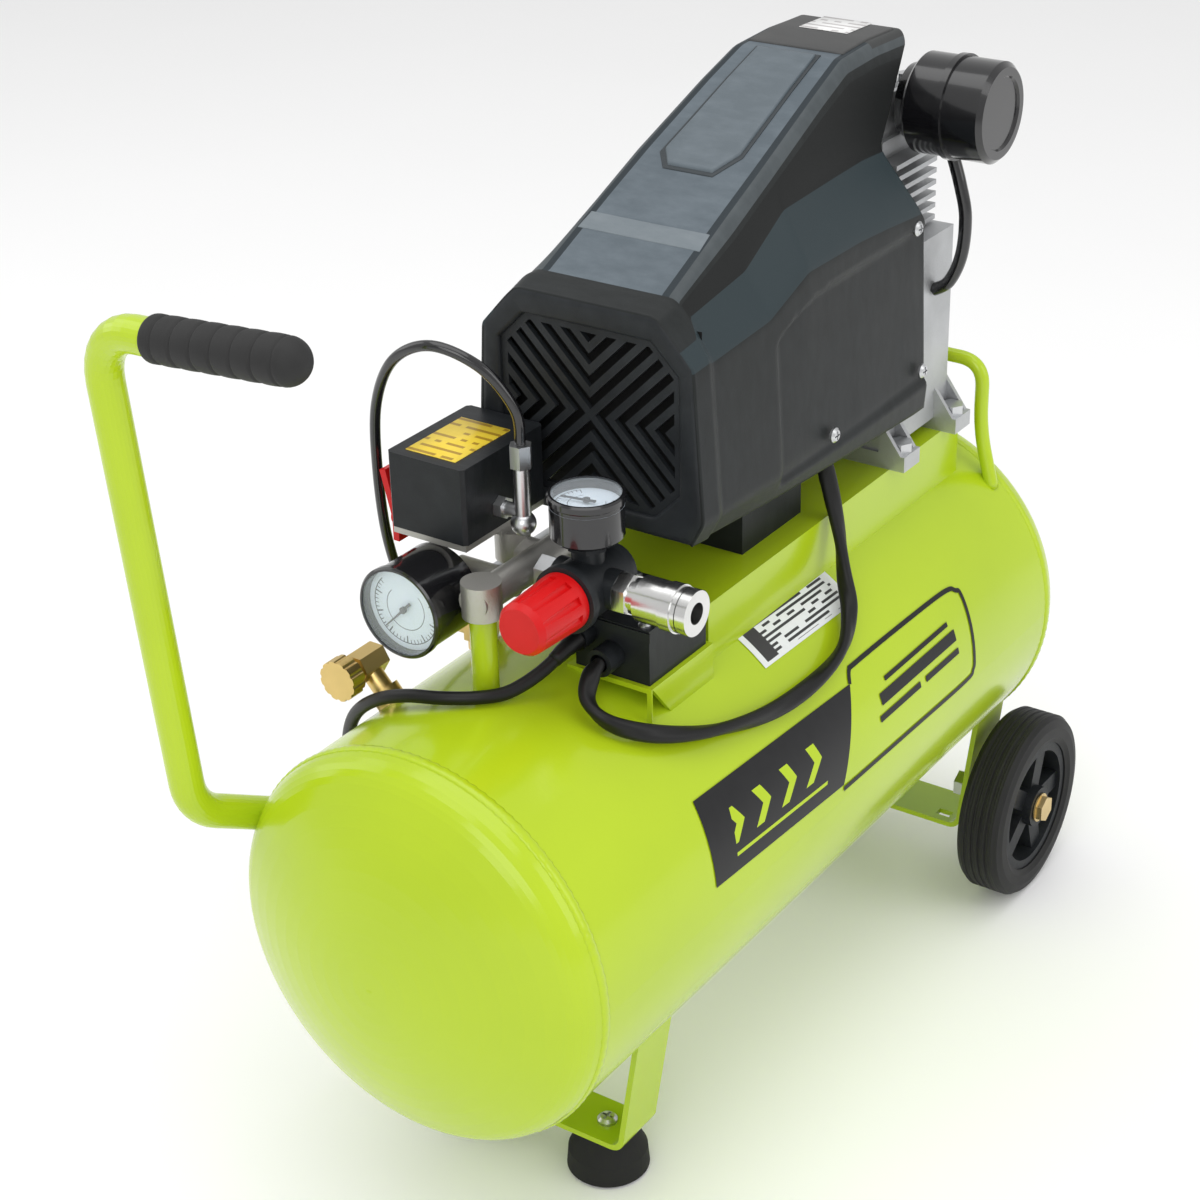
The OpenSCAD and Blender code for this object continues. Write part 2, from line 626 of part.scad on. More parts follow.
module manifold() {
    color(zinc) {
        translate([pipe_at[0], pipe_at[1], 362]) cylinder(h = 20, r = 11);
        along_y([-10, -170, 372], 78, 9);
        along_x([-49, -130, 366], 39, 7);
        along_y([-49, -145, 362], 20, 7.5);
        translate([-32, -104, 366]) cylinder(h = 18, r = 10);
        along_x([-32, -104, 372], 22, 8);
    }
}

// ---- pressure switch ----

module switch_case() {
    lo = switch_lo;
    hi = switch_hi;
    color(dark) difference() {
        translate([lo[0], lo[1], lo[2]]) linear_extrude(hi[2] - lo[2])
            polygon([[2, 0], [hi[0] - lo[0] - 2, 0], [hi[0] - lo[0], 2], [hi[0] - lo[0], hi[1] - lo[1] - 2],
                [hi[0] - lo[0] - 2, hi[1] - lo[1]], [2, hi[1] - lo[1]], [0, hi[1] - lo[1] - 2], [0, 2]]);
        block(lo + [2.5, 2.5, -1], hi - [2.5, 2.5, 2.5]);
    }
}
module switch_base() {
    color("gray") {
        block([switch_lo[0] + 1, switch_lo[1] + 1, 388], [switch_hi[0] - 1, switch_hi[1] - 1, 391.9]);
        block([-48, -116, 384], [-30, -92, 388.1]);
        block([-70, -135, 391.8], [-38, -86, 420]);
    }
}
lever_at = [-79, -136, 391];
module switch_lever() {
    color(red) {
        along_x([-86.3, lever_at[1], lever_at[2]], 7, 5);
        translate([-84.3, lever_at[1], lever_at[2]]) rotate([0, -14, 0]) block([-2, -4, 0], [2, 4, 28]);
        block([-86.3, -140, 377], [-82.3, -132, 392]);
    }
}

// ---- gauges ----

// Case of a pressure gauge with its face at z = 0 looking along +Z and its back at z = -depth.
module gauge_case(r, depth) {
    rotate_extrude() polygon([[0, -depth], [r - 3, -depth], [r - 1, -depth + 2], [r - 1, -5], [r, -4],
        [r, -1], [r - 1, 0], [r - 2.2, 0], [r - 2.2, -8], [0, -8]]);
}
module gauge_dial(r) { translate([0, 0, -8]) cylinder(h = 1, r = r - 2.3); }
module gauge_lens(r) { translate([0, 0, -2.5]) cylinder(h = 1.5, r = r - 2.25); }
module gauge_needle(r) {
    translate([0, 0, -5.6]) cylinder(h = 1.6, r = 2);
    translate([0, 0, -5.4]) linear_extrude(0.8) polygon([[-0.9, -r * 0.25], [0.9, -r * 0.25], [0.3, r * 0.7],
        [-0.3, r * 0.7]]);
}
module at_tank_gauge() { translate(tank_gauge_at) rotate([90, 0, 0]) children(); }
module at_outlet_gauge() { translate([reg_at[0], reg_at[1], 428]) children(); }
module tank_gauge_case() {
    color("black") at_tank_gauge() gauge_case(tank_gauge_r, 39.9);
}
module outlet_gauge_case() {
    color("black") at_outlet_gauge() {
        gauge_case(outlet_gauge_r, 26);
    }
}
module gauge_dials() {
    color("white") {
        at_tank_gauge() gauge_dial(tank_gauge_r);
        at_outlet_gauge() gauge_dial(outlet_gauge_r);
    }
}
module gauge_lenses() {
    color("lightblue") {
        at_tank_gauge() gauge_lens(tank_gauge_r);
        at_outlet_gauge() gauge_lens(outlet_gauge_r);
    }
}
module tank_gauge_needle() { color("black") at_tank_gauge() rotate(135) gauge_needle(tank_gauge_r); }
module outlet_gauge_needle() { color("black") at_outlet_gauge() rotate(100) gauge_needle(outlet_gauge_r); }

// ---- regulator and coupler ----

module regulator_body() {
    c = reg_at;
    color(dark) {
        along_y([c[0], -140, c[2]], 36, 17);
        along_y([c[0], -145, c[2]], 5.1, 19);
        along_y([c[0], -104.1, c[2]], 7, 14);
        along_y([c[0], -165, c[2]], 20.1, 6);
        along_x([11.6, c[1], c[2]], 12, 11);
        along_x([c[0], c[1], coupler_z], 21, 11);
        translate([c[0], c[1], c[2]]) cylinder(h = 27.9, r = 9);
        hex_z([c[0], c[1], 396], 5.9, 20);
    }
}
module regulator_knob() {
    c = reg_at;
    color(red) difference() {
        translate([c[0], -145.5, c[2]]) rotate([90, 0, 0]) rotate_extrude()
            polygon([[6 + run_gap, 0], [knob_r, 0], [knob_r, 4], [knob_r - 1.5, 36], [knob_r - 4, 39.5],
                [0, 39.5], [0, 20], [6 + run_gap, 20]]);
        for (i = [0 : 9]) translate([c[0], 0, c[2]]) rotate([0, i * 36 + 11, 0])
            along_y([knob_r + 0.8, -190, 0], 39, 2.6);
    }
}
sock = [52, reg_at[1], coupler_z];
module coupler_body() {
    color("silver") difference() {
        union() {
            hex_x(sock, 8, 21);
            along_x(sock + [7.9, 0, 0], 33, 10);
            along_x(sock + [40.5, 0, 0], 6, 12.5);
        }
        along_x(sock + [26, 0, 0], 24, socket_r);
    }
}
module coupler_sleeve() {
    color("silver") difference() {
        union() {
            along_x(sock + [14, 0, 0], 26, 12.6);
            along_x(sock + [30, 0, 0], 7, 13.4);
        }
        along_x(sock + [13, 0, 0], 30, 10 + run_gap);
    }
}

// ---- brass valve ----

module brass_valve() {
    out = unit([valve_at[0], 0, valve_at[2] - tank_z]);
    foot = [0, valve_at[1], tank_z] + out * (tank_r - 4);
    color(brass) difference() {
        union() {
            rod(foot, valve_at, 6);
            rod([0, valve_at[1], tank_z] + out * (tank_r - 4), [0, valve_at[1], tank_z] + out * (tank_r + 9), 9);
            hex_y([valve_at[0], -172, valve_at[2]], 20, 16);
            along_y([valve_at[0], -186, valve_at[2]], 16, 3);
            along_y([valve_at[0], -176, valve_at[2]], 8, 6);
        }
        solid_tank();
    }
}
module valve_wheel() {
    color(brass) difference() {
        along_y([valve_at[0], -187, valve_at[2]], 10, 12);
        along_y([valve_at[0], -186, valve_at[2]], 12, 3 + run_gap);
        for (i = [0 : 11]) translate([valve_at[0], 0, valve_at[2]]) rotate([0, i * 30, 0])
            along_y([13, -190, 0], 20, 1.8);
    }
}

// ---- electrics ----

module junction_box() {
    color(dark) {
        difference() {
            block(box_lo, box_hi);
            block(box_lo + [3, 3, 3], box_hi - [3, 3, 3]);
        }
        block([box_lo[0] - 1, box_lo[1] - 1, box_hi[2] - 6], [box_hi[0] + 1, box_lo[1], box_hi[2] - 1]);
        difference() {
            along_y([power_gland[0], -125, power_gland[2]], 10.1, 6.5);
            along_y([power_gland[0], -126, power_gland[2]], 8, cord_r);
        }
        difference() {
            along_y([motor_gland[0], -128, motor_gland[2]], 13.1, 8);
            along_y([motor_gland[0], -129, motor_gland[2]], 8, 5.3);
        }
    }
}
module box_bracket() {
    color(green) difference() {
        union() {
            block([12, -118, 315], [67, -56, 318]);
            block([64, -118, 280], [67, -56, 315.1]);
            block([12, -59, 280], [67, -56, 315.1]);
            block([12, -118, 280], [15, -56, 315.1]);
        }
        solid_tank();
        translate([68, -118, 270]) rotate([90, 0, -90]) linear_extrude(60) polygon([[-1, 0], [-1, 48], [-40, 0]]);
    }
}
module motor_cable() { color(dark) swept(motor_route, 5.2, 2, 10); }
module power_cord() { color(dark) swept(cord_route, cord_r, 2, 8); }
coil_half = 2 * cord_r;
coil_h = 6 * cord_r;
module cord_coil() {
    color(dark) translate(coil_at) rotate_extrude() translate([coil_r - coil_half, 0])
        square([2 * coil_half, coil_h]);
}
plug_at = [-260.6, -24, 10];
module plug() {
    color(dark) translate(plug_at) rotate([0, 0, 90]) {
        rotate([90, 0, 0]) linear_extrude(26, center = true)
            polygon([[-14, -9], [12, -9], [14, -7], [14, 7], [12, 9], [-14, 9], [-16, 6], [-16, -6]]);
        rod([13, 0, 0], [34, 0, 0], 5);
        for (y = [-6.5, 6.5]) block([-33, y - 3, -0.8], [-15, y + 3, 0.8]);
    }
}

tank_shell();
tank_head_front();
tank_head_rear();
handle_tube();
handle_grip();
rear_hoop();
leg_front();
leg_rear();
rubber_feet();
axle_bolts();
axle_nuts();
wheel_hub_right();
tyre_right();
wheel_hub_left();
tyre_left();
saddle_plate();
crankcase();
crankcase_cover();
finned_cylinder();
cylinder_head();
hex_bolts();
crankshaft();
motor_rotor();
cooling_fan();
connecting_rod();
piston();
motor_stator();
motor_cover();
cover_grille();
cross_screws();
filter_drum();
breather_hose();
delivery_pipe();
check_valve();
relief_tube();
pipe_fittings();
switch_case();
switch_base();
switch_lever();
standpipe();
manifold();
tank_gauge_case();
outlet_gauge_case();
gauge_dials();
gauge_lenses();
tank_gauge_needle();
outlet_gauge_needle();
regulator_body();
regulator_knob();
coupler_body();
coupler_sleeve();
brass_valve();
valve_wheel();
drain_valve();
junction_box();
box_bracket();
motor_cable();
power_cord();
cord_coil();
plug();
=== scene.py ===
import math
import bpy
import numpy as np
from mathutils import Matrix, Vector


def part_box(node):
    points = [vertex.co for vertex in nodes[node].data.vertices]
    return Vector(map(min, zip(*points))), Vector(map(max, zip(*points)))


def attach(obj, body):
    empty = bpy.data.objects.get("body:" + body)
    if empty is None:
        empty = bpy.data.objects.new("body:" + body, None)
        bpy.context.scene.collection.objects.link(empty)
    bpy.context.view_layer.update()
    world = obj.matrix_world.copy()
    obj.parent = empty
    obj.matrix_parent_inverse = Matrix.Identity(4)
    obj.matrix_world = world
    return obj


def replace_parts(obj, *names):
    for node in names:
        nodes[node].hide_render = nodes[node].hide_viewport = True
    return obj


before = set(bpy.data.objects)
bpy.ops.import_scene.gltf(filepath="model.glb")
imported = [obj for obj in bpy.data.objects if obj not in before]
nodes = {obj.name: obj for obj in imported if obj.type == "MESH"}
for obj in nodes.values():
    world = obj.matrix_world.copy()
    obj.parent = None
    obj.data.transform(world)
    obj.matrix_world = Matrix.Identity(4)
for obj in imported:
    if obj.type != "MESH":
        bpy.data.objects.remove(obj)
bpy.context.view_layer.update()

mm = 0.001


cameraSetup = {
    "place": (0.7009, -1.06496, 0.97264),
    "right": (0.82501, 0.56460, -0.02413),
    "up": (-0.24540, 0.39640, 0.88467),
    "forward": (-0.50905, 0.72394, -0.46559),
    "lens": 73.9,
    "sensor": 36,
    "clip": (0.05, 50),
}


def addObject(name, data):
    obj = bpy.data.objects.new(name, data)
    bpy.context.scene.collection.objects.link(obj)
    return obj


def makeCamera(setup):
    data = bpy.data.cameras.new("camera")
    data.lens = setup["lens"]
    data.sensor_width = setup["sensor"]
    data.clip_start, data.clip_end = setup["clip"]
    cam = addObject("camera", data)
    axes = [setup["right"], setup["up"], [-c for c in setup["forward"]]]
    cam.matrix_world = Matrix.Translation(setup["place"]) @ Matrix(axes).transposed().to_4x4()
    bpy.context.scene.camera = cam


makeCamera(cameraSetup)
print("camera ready")


class Num:
    # a socket that takes part in Python sums, each of which adds a Math node
    def __init__(self, finish, socket):
        self.finish = finish
        self.socket = socket

    def do(self, operation, a, b=None):
        values = {0: a} if b is None else {0: a, 1: b}
        made = self.finish.add("ShaderNodeMath", {"operation": operation}, values)
        return Num(self.finish, made.outputs[0])

    def __add__(self, other): return self.do("ADD", self, other)
    def __radd__(self, other): return self.do("ADD", other, self)
    def __sub__(self, other): return self.do("SUBTRACT", self, other)
    def __rsub__(self, other): return self.do("SUBTRACT", other, self)
    def __mul__(self, other): return self.do("MULTIPLY", self, other)
    def __truediv__(self, other): return self.do("DIVIDE", self, other)
    def __gt__(self, other): return self.do("GREATER_THAN", self, other)
    def __lt__(self, other): return self.do("LESS_THAN", self, other)
    def sin(self): return self.do("SINE", self)
    def fract(self): return self.do("FRACT", self)
    def floor(self): return self.do("FLOOR", self)
    def size(self): return self.do("ABSOLUTE", self)
    def power(self, other): return self.do("POWER", self, other)
    def atan(self, other): return self.do("ARCTAN2", self, other)
    def most(self, other): return self.do("MAXIMUM", self, other)
    def least(self, other): return self.do("MINIMUM", self, other)


class Finish:
    # one material: add() makes any node from its type, settings and socket values or links
    def __init__(self, name):
        self.material = bpy.data.materials.new(name)
        self.material.use_nodes = True
        self.tree = self.material.node_tree
        self.tree.nodes.clear()
        self.shader = self.add("ShaderNodeBsdfPrincipled")
        end = self.add("ShaderNodeOutputMaterial")
        self.tree.links.new(self.shader.outputs[0], end.inputs[0])
        self.coords = self.add("ShaderNodeTexCoord")

    def add(self, kind, settings=None, values=None):
        node = self.tree.nodes.new(kind)
        for key, value in (settings or {}).items():
            setattr(node, key, value)
        for key, value in (values or {}).items():
            self.put(node.inputs[key], value)
        return node

    def put(self, socket, value):
        if isinstance(value, Num):
            self.tree.links.new(value.socket, socket)
        elif isinstance(value, bpy.types.NodeSocket):
            self.tree.links.new(value, socket)
        elif isinstance(value, tuple) and len(value) == 3 and socket.type == "RGBA":
            socket.default_value = (*value, 1)
        else:
            socket.default_value = value

    def place(self, axis):
        # one axis of the object coordinates, in metres
        split = self.add("ShaderNodeSeparateXYZ", None, {0: self.coords.outputs["Object"]})
        return Num(self, split.outputs[axis])

    def uv(self, axis):
        # one axis of the piece's own UV map
        split = self.add("ShaderNodeSeparateXYZ", None, {0: self.coords.outputs["UV"]})
        return Num(self, split.outputs[axis])

    def noise(self, scale, detail=3.0, rough=0.5, stretch=None):
        source = self.coords.outputs["Object"]
        if stretch:
            source = self.add("ShaderNodeMapping", None, {"Vector": source, "Scale": stretch}).outputs[0]
        values = {"Vector": source, "Scale": scale, "Detail": detail, "Roughness": rough}
        return Num(self, self.add("ShaderNodeTexNoise", None, values).outputs[0])

    def mix(self, mask, a, b):
        made = self.add("ShaderNodeMix", {"data_type": "RGBA"})
        self.put(made.inputs[0], mask)
        self.put(made.inputs[6], a)
        self.put(made.inputs[7], b)
        return made.outputs[2]

    def bump(self, height, strength, distance):
        values = {"Strength": strength, "Distance": distance, "Height": height}
        return self.add("ShaderNodeBump", None, values).outputs[0]

    def done(self, color, rough, bump=None, **fixed):
        # joins the channels to the shader; fixed sets its other sockets by name
        self.put(self.shader.inputs["Base Color"], color)
        self.put(self.shader.inputs["Roughness"], rough)
        if bump is not None:
            self.put(self.shader.inputs["Normal"], bump)
        for key, value in fixed.items():
            self.put(self.shader.inputs[key], value)
        return self.material


paint = {"lime": (0.43, 0.58, 0.012), "shade": (0.37, 0.51, 0.010), "rough": 0.17}
plastic = {"dark": (0.012, 0.014, 0.016), "worn": (0.030, 0.034, 0.038)}


def limePaint():
    # sprayed enamel: soft clouds of a second green, orange peel and specks in the bump
    f = Finish("limePaint")
    cloud = f.noise(6, 4)
    peel = f.noise(420, 2)
    speck = f.noise(2200, 1)
    mask = (cloud - 0.42) * 2.2
    color = f.mix(mask.most(0).least(1), paint["lime"], paint["shade"])
    return f.done(color, paint["rough"] + cloud * 0.10, f.bump(peel + speck * 0.15, 0.12, 0.0004),
                  **{"Coat Weight": 0.25, "Coat Roughness": 0.08, "Specular IOR Level": 0.35})


def coverPlastic(name, grain=1500, rough=0.42, lift=1.0):
    # moulded plastic with worn patches; lift scales both greys
    f = Finish(name)
    cloud = f.noise(18, 5)
    fine = f.noise(grain, 2)
    scuff = f.noise(60, 6, 0.6, (1, 4, 1))
    tone = (cloud - 0.35) * 1.6 + (scuff - 0.55) * 1.2
    dark = tuple(c * lift for c in plastic["dark"])
    worn = tuple(c * lift for c in plastic["worn"])
    color = f.mix(tone.most(0).least(1), dark, worn)
    bump = f.bump(fine + cloud * 0.2, 0.25, 0.0003)
    return f.done(color, rough + cloud * 0.14 - scuff * 0.06, bump, **{"Specular IOR Level": 0.25})


def glossBlack():
    f = Finish("glossBlack")
    cloud = f.noise(25, 3)
    dust = f.noise(900, 2)
    color = f.mix((dust - 0.62).most(0) * 3, (0.006, 0.006, 0.007), (0.03, 0.03, 0.03))
    return f.done(color, 0.13 + cloud * 0.10, f.bump(cloud, 0.04, 0.0004), **{"Coat Weight": 0.5})


def softRubber(name, tone=0.016, rough=0.62):
    f = Finish(name)
    cloud = f.noise(40, 4)
    grain = f.noise(1800, 2)
    color = f.mix(cloud, (tone * 0.7,) * 3, (tone * 1.6,) * 3)
    return f.done(color, rough + cloud * 0.14, f.bump(grain, 0.35, 0.0002), **{"Specular IOR Level": 0.3})


def tyreRubber(pitch=0.0022):
    # fine rings round the tyre, one to each pitch
    f = Finish("tyreRubber")
    ring = (f.place(0) * (math.tau / pitch)).sin()
    cloud = f.noise(60, 4)
    color = f.mix(cloud, (0.006, 0.006, 0.006), (0.014, 0.014, 0.014))
    bump = f.bump(ring * 0.5 + cloud, 0.35, 0.0004)
    return f.done(color, 0.50 + cloud * 0.15, bump, **{"Specular IOR Level": 0.3})


def castMetal(name, tone=(0.56, 0.57, 0.58), grain=700, rough=0.42, metal=0.85):
    f = Finish(name)
    cloud = f.noise(30, 5)
    sand = f.noise(grain, 3)
    dark = tuple(c * 0.72 for c in tone)
    color = f.mix((cloud - 0.3) * 1.6, tone, dark)
    bump = f.bump(sand + cloud * 0.3, 0.35, 0.0005)
    return f.done(color, rough + cloud * 0.18, bump, **{"Metallic": metal})


def polished(name, tone, rough):
    # bright metal with brush lines along x
    f = Finish(name)
    cloud = f.noise(50, 3)
    brushed = f.noise(1400, 2, 0.5, (1, 0.08, 0.08))
    color = f.mix(cloud, tone, tuple(c * 0.8 for c in tone))
    bump = f.bump(brushed, 0.10, 0.0002)
    return f.done(color, rough + cloud * 0.12 + brushed * 0.05, bump, **{"Metallic": 1.0})


def redPlastic():
    f = Finish("redPlastic")
    cloud = f.noise(60, 3)
    grain = f.noise(1500, 2)
    color = f.mix(cloud, (0.62, 0.004, 0.005), (0.50, 0.003, 0.004))
    return f.done(color, 0.30 + cloud * 0.12, f.bump(grain, 0.15, 0.0002), **{"Specular IOR Level": 0.3})


def clearLens():
    f = Finish("clearLens")
    cloud = f.noise(30, 2)
    return f.done((0.9, 0.96, 1.0), 0.03 + cloud * 0.03, None, **{"Alpha": 0.12, "Specular IOR Level": 0.8})


dialMarks = {"sweep": 0.375, "short": 0.10, "long": 0.18, "outerLine": 0.012, "innerLine": 0.01}


def dialCard(inner, outer, count):
    # card with a ring of division marks and an inner ring, from the piece's own UV map
    f = Finish("dialCard" + str(count))
    m = dialMarks
    x = f.uv(0) - 0.5
    y = f.uv(1) - 0.5
    radius = (x * x + y * y).power(0.5) * 2
    angle = x.atan(0 - y) / math.tau + 0.5
    inScale = ((angle - 0.5).size() < m["sweep"])
    spoke = ((angle * count).fract() - 0.5).size() > 0.40
    tall = ((angle * (count / 5)).fract() - 0.5).size() > 0.465
    band = (radius > outer - m["short"]) * (radius < outer)
    longBand = (radius > outer - m["long"]) * (radius < outer)
    arc = (radius > outer - m["outerLine"]) * (radius < outer + m["outerLine"])
    second = (radius > inner - m["innerLine"]) * (radius < inner + m["innerLine"])
    ink = ((spoke * band).most(tall * longBand).most(arc).most(second) * inScale).least(1)
    cloud = f.noise(200, 2)
    card = f.mix(cloud, (0.68, 0.79, 0.90), (0.78, 0.86, 0.93))
    return f.done(f.mix(ink, card, (0.02, 0.03, 0.05)), 0.35 + cloud * 0.1)


def labelPaper(name, ground, ink, rows, columns, fill, header=0.0):
    # rows of plain bars that stand for print, without letters; header is the width of a solid bar along
    # two sides
    f = Finish(name)
    x = f.uv(0)
    y = f.uv(1)
    line = ((y * rows).fract() - 0.5).size() < fill
    cell = f.add("ShaderNodeTexWhiteNoise", {"noise_dimensions": "2D"})
    at = f.add("ShaderNodeCombineXYZ", None, {0: (x * columns).floor(), 1: (y * rows).floor()})
    f.put(cell.inputs["Vector"], at.outputs[0])
    shown = Num(f, cell.outputs[0]) > 0.35
    edge = (x > 0.05) * (x < 0.95) * (y > 0.06) * (y < 0.94)
    paper = f.noise(300, 3)
    block = ((y < header).most(x < header)) * edge
    sheet = f.mix(paper, ground, tuple(c * 0.9 for c in ground))
    return f.done(f.mix((line * shown * edge).most(block), sheet, ink), 0.35 + paper * 0.15)


def decalInk():
    # black sticker with a row of lime chevrons and one thin lime bar
    f = Finish("decalInk")
    x = f.uv(0)
    y = f.uv(1)
    between = (x > 0.16) * (x < 0.84)
    slant = (x * 5.5 + (y - 0.5).size() * 1.6).fract()
    chevron = (slant < 0.30) * (y > 0.30) * (y < 0.70) * between
    bar = (y > 0.16) * (y < 0.20) * between
    cloud = f.noise(120, 3)
    ground = f.mix(cloud, (0.005, 0.005, 0.006), (0.010, 0.010, 0.011))
    return f.done(f.mix(chevron.most(bar), ground, paint["lime"]), 0.28 + cloud * 0.12, None,
                  **{"Specular IOR Level": 0.3})


lime = limePaint()
coverBlack = coverPlastic("coverBlack")
boxBlack = coverPlastic("boxBlack", 1200, 0.36, 0.8)
hubBlack = coverPlastic("hubBlack", 1800, 0.45, 0.8)
drumBlack = glossBlack()
gripRubber = softRubber("gripRubber", 0.018, 0.55)
cordRubber = softRubber("cordRubber", 0.005, 0.36)
footRubber = softRubber("footRubber", 0.010, 0.66)
tyreBlack = tyreRubber()
castGrey = castMetal("castGrey")
zincGrey = castMetal("zincGrey", (0.50, 0.49, 0.46), 900, 0.36)
darkSteel = castMetal("darkSteel", (0.22, 0.22, 0.23), 1200, 0.38)
zincBright = polished("zincBright", (0.66, 0.67, 0.68), 0.24)
nickel = polished("nickel", (0.80, 0.80, 0.79), 0.12)
brassWarm = polished("brassWarm", (0.76, 0.56, 0.22), 0.26)
nutGold = polished("nutGold", (0.72, 0.55, 0.26), 0.30)
redKnob = redPlastic()
lensClear = clearLens()
print("finishes ready")

dressed = {
    lime: ["tank_shell", "tank_head_front", "tank_head_rear", "handle_tube", "rear_hoop", "leg_front",
           "leg_rear", "saddle_plate", "standpipe", "box_bracket"],
    coverBlack: ["motor_cover", "cover_grille", "cooling_fan"],
    boxBlack: ["switch_case", "regulator_body", "junction_box", "plug"],
    # the motor stator takes this near-black plastic as painted shade, for the dark gap where the cover meets
    # the tank
    hubBlack: ["wheel_hub_right", "wheel_hub_left", "motor_stator"],
    drumBlack: ["filter_drum", "tank_gauge_case", "outlet_gauge_case", "tank_gauge_needle",
                "outlet_gauge_needle"],
    gripRubber: ["handle_grip"],
    footRubber: ["rubber_feet"],
    tyreBlack: ["tyre_right", "tyre_left"],
    castGrey: ["crankcase", "crankcase_cover", "finned_cylinder", "cylinder_head", "connecting_rod",
               "piston", "delivery_pipe"],
    zincGrey: ["manifold", "switch_base"],
    darkSteel: ["crankshaft", "motor_rotor"],
    zincBright: ["axle_bolts", "hex_bolts", "cross_screws", "pipe_fittings"],
    nickel: ["coupler_body", "coupler_sleeve"],
    brassWarm: ["brass_valve", "valve_wheel", "drain_valve", "check_valve"],
    nutGold: ["axle_nuts"],
    redKnob: ["regulator_knob", "switch_lever"],
    lensClear: ["gauge_lenses"],
}


def dress(obj, material):
    obj.data.materials.clear()
    obj.data.materials.append(material)


for material, names in dressed.items():
    for name in names:
        dress(nodes[name], material)


def mapPiece(obj, flat):
    # one UV pair for each vertex
    spots = np.zeros(len(obj.data.loops), int)
    obj.data.loops.foreach_get("vertex_index", spots)
    obj.data.uv_layers.new(name="UVMap").data.foreach_set("uv", flat[spots].reshape(-1))


def gridPiece(name, points, material, body="frame", closeU=False, closeV=False, flip=False,
              uv=True):
    # points is an array rows x columns x 3; quads join neighbours, and closed directions wrap round
    rows, columns = points.shape[:2]
    i = np.arange(rows if closeU else rows - 1)[:, None]
    j = np.arange(columns if closeV else columns - 1)[None, :]
    a = i * columns + j
    b = i * columns + (j + 1) % columns
    c = (i + 1) % rows * columns + (j + 1) % columns
    d = (i + 1) % rows * columns + j
    corners = (a, d, c, b) if flip else (a, b, c, d)
    quads = np.stack(np.broadcast_arrays(*corners), -1).reshape(-1, 4)
    mesh = bpy.data.meshes.new(name)
    mesh.from_pydata(points.reshape(-1, 3).tolist(), [], quads.tolist())
    mesh.polygons.foreach_set("use_smooth", np.ones(len(quads), bool))
    mesh.update()
    obj = addObject(name, mesh)
    if uv:
        flat = np.stack(np.meshgrid(np.linspace(0, 1, columns), np.linspace(0, 1, rows)), -1)
        mapPiece(obj, flat.reshape(-1, 2))
    dress(obj, material)
    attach(obj, body)
    return obj


def smoothPath(points, steps=8):
    # Catmull-Rom curve through the points
    p = np.vstack([points[0], points, points[-1]])
    t = (np.arange(steps) / steps)[None, :, None]
    a, b, c, d = (p[k:len(p) - 3 + k, None, :] for k in range(4))
    curve = 0.5 * (2 * b + (c - a) * t + (2 * a - 5 * b + 4 * c - d) * t ** 2
                   + (3 * b - a - 3 * c + d) * t ** 3)
    return np.vstack([curve.reshape(-1, 3), p[-1]])


def tubePoints(path, radius, sides=24, waist=0.0, twist=0.0):
    # rings of the given radius, square to the path; lean is a direction that no tube here runs along. A waist
    # makes each ring two-lobed, and twist is how many times the lobes turn along the path
    heading = np.gradient(path, axis=0)
    heading /= np.linalg.norm(heading, axis=1, keepdims=True)
    lean = np.array([0.61, -0.53, 0.59])
    side = np.cross(heading, lean)
    side /= np.linalg.norm(side, axis=1, keepdims=True)
    other = np.cross(heading, side)
    angle = np.linspace(0, math.tau, sides, endpoint=False)[None, :, None]
    r = np.broadcast_to(np.asarray(radius, float).reshape(-1, 1, 1), (len(path), 1, 1))
    turn = np.linspace(0, twist * math.tau, len(path))[:, None, None]
    r = r * (1 - waist * (0.5 + 0.5 * np.cos(2 * (angle + turn))))
    rings = path[:, None] + r * (np.cos(angle) * side[:, None] + np.sin(angle) * other[:, None])
    ends = [np.repeat(path[k][None, None], sides, 1) for k in (0, -1)]
    return np.concatenate([ends[0], rings, ends[1]], 0)


def tubePiece(name, path, radius, material, slot="rubber", sides=24, **shape):
    points = tubePoints(path, radius, sides, **shape)
    return gridPiece(name, points, material, closeV=True, flip=True)


# the lead with its coil on the ground to the left, about 1.8 m in all; lengths in mm but for the radius
cord = {"radius": 3.75 * mm, "coilAt": (-218, 40), "outer": 50, "pitch": 8.2, "turns": 4.5, "layer": 8,
        "lowest": 4, "perTurn": 48, "rise": 0.24, "tail": (32, 24, 17, 10), "tailFall": 15, "steps": 6}
cordRoute = np.array([
    [24, -125, 340], [23, -134, 338], [17, -150, 329], [8, -166, 322.5], [-3, -179, 322],
    [-20, -189, 321.5], [-41, -192, 318], [-63, -190, 308], [-85, -182, 290], [-103, -170, 266],
    [-116, -158, 237], [-122, -148, 202], [-124, -140, 150], [-127, -131, 100], [-131, -120, 55],
    [-139, -104, 22], [-150, -82, 7], [-159, -55, 4], [-165, -25, 4], [-168, 5, 4], [-168, 40, 4]], float)


def coilPath(c):
    # a flat spiral inwards, a step up by one layer, and a spiral outwards on top of it
    t = np.linspace(0, c["turns"], int(c["turns"] * c["perTurn"]) + 1)[1:]
    half = c["turns"] / 2
    r = c["outer"] - c["pitch"] * half + c["pitch"] * abs(t - half)
    s = np.clip((t - half + c["rise"] / 2) / c["rise"], 0, 1)
    z = c["lowest"] + c["layer"] * s * s * (3 - 2 * s)
    a = t * math.tau
    return np.stack([c["coilAt"][0] + r * np.cos(a), c["coilAt"][1] + r * np.sin(a), z], -1)


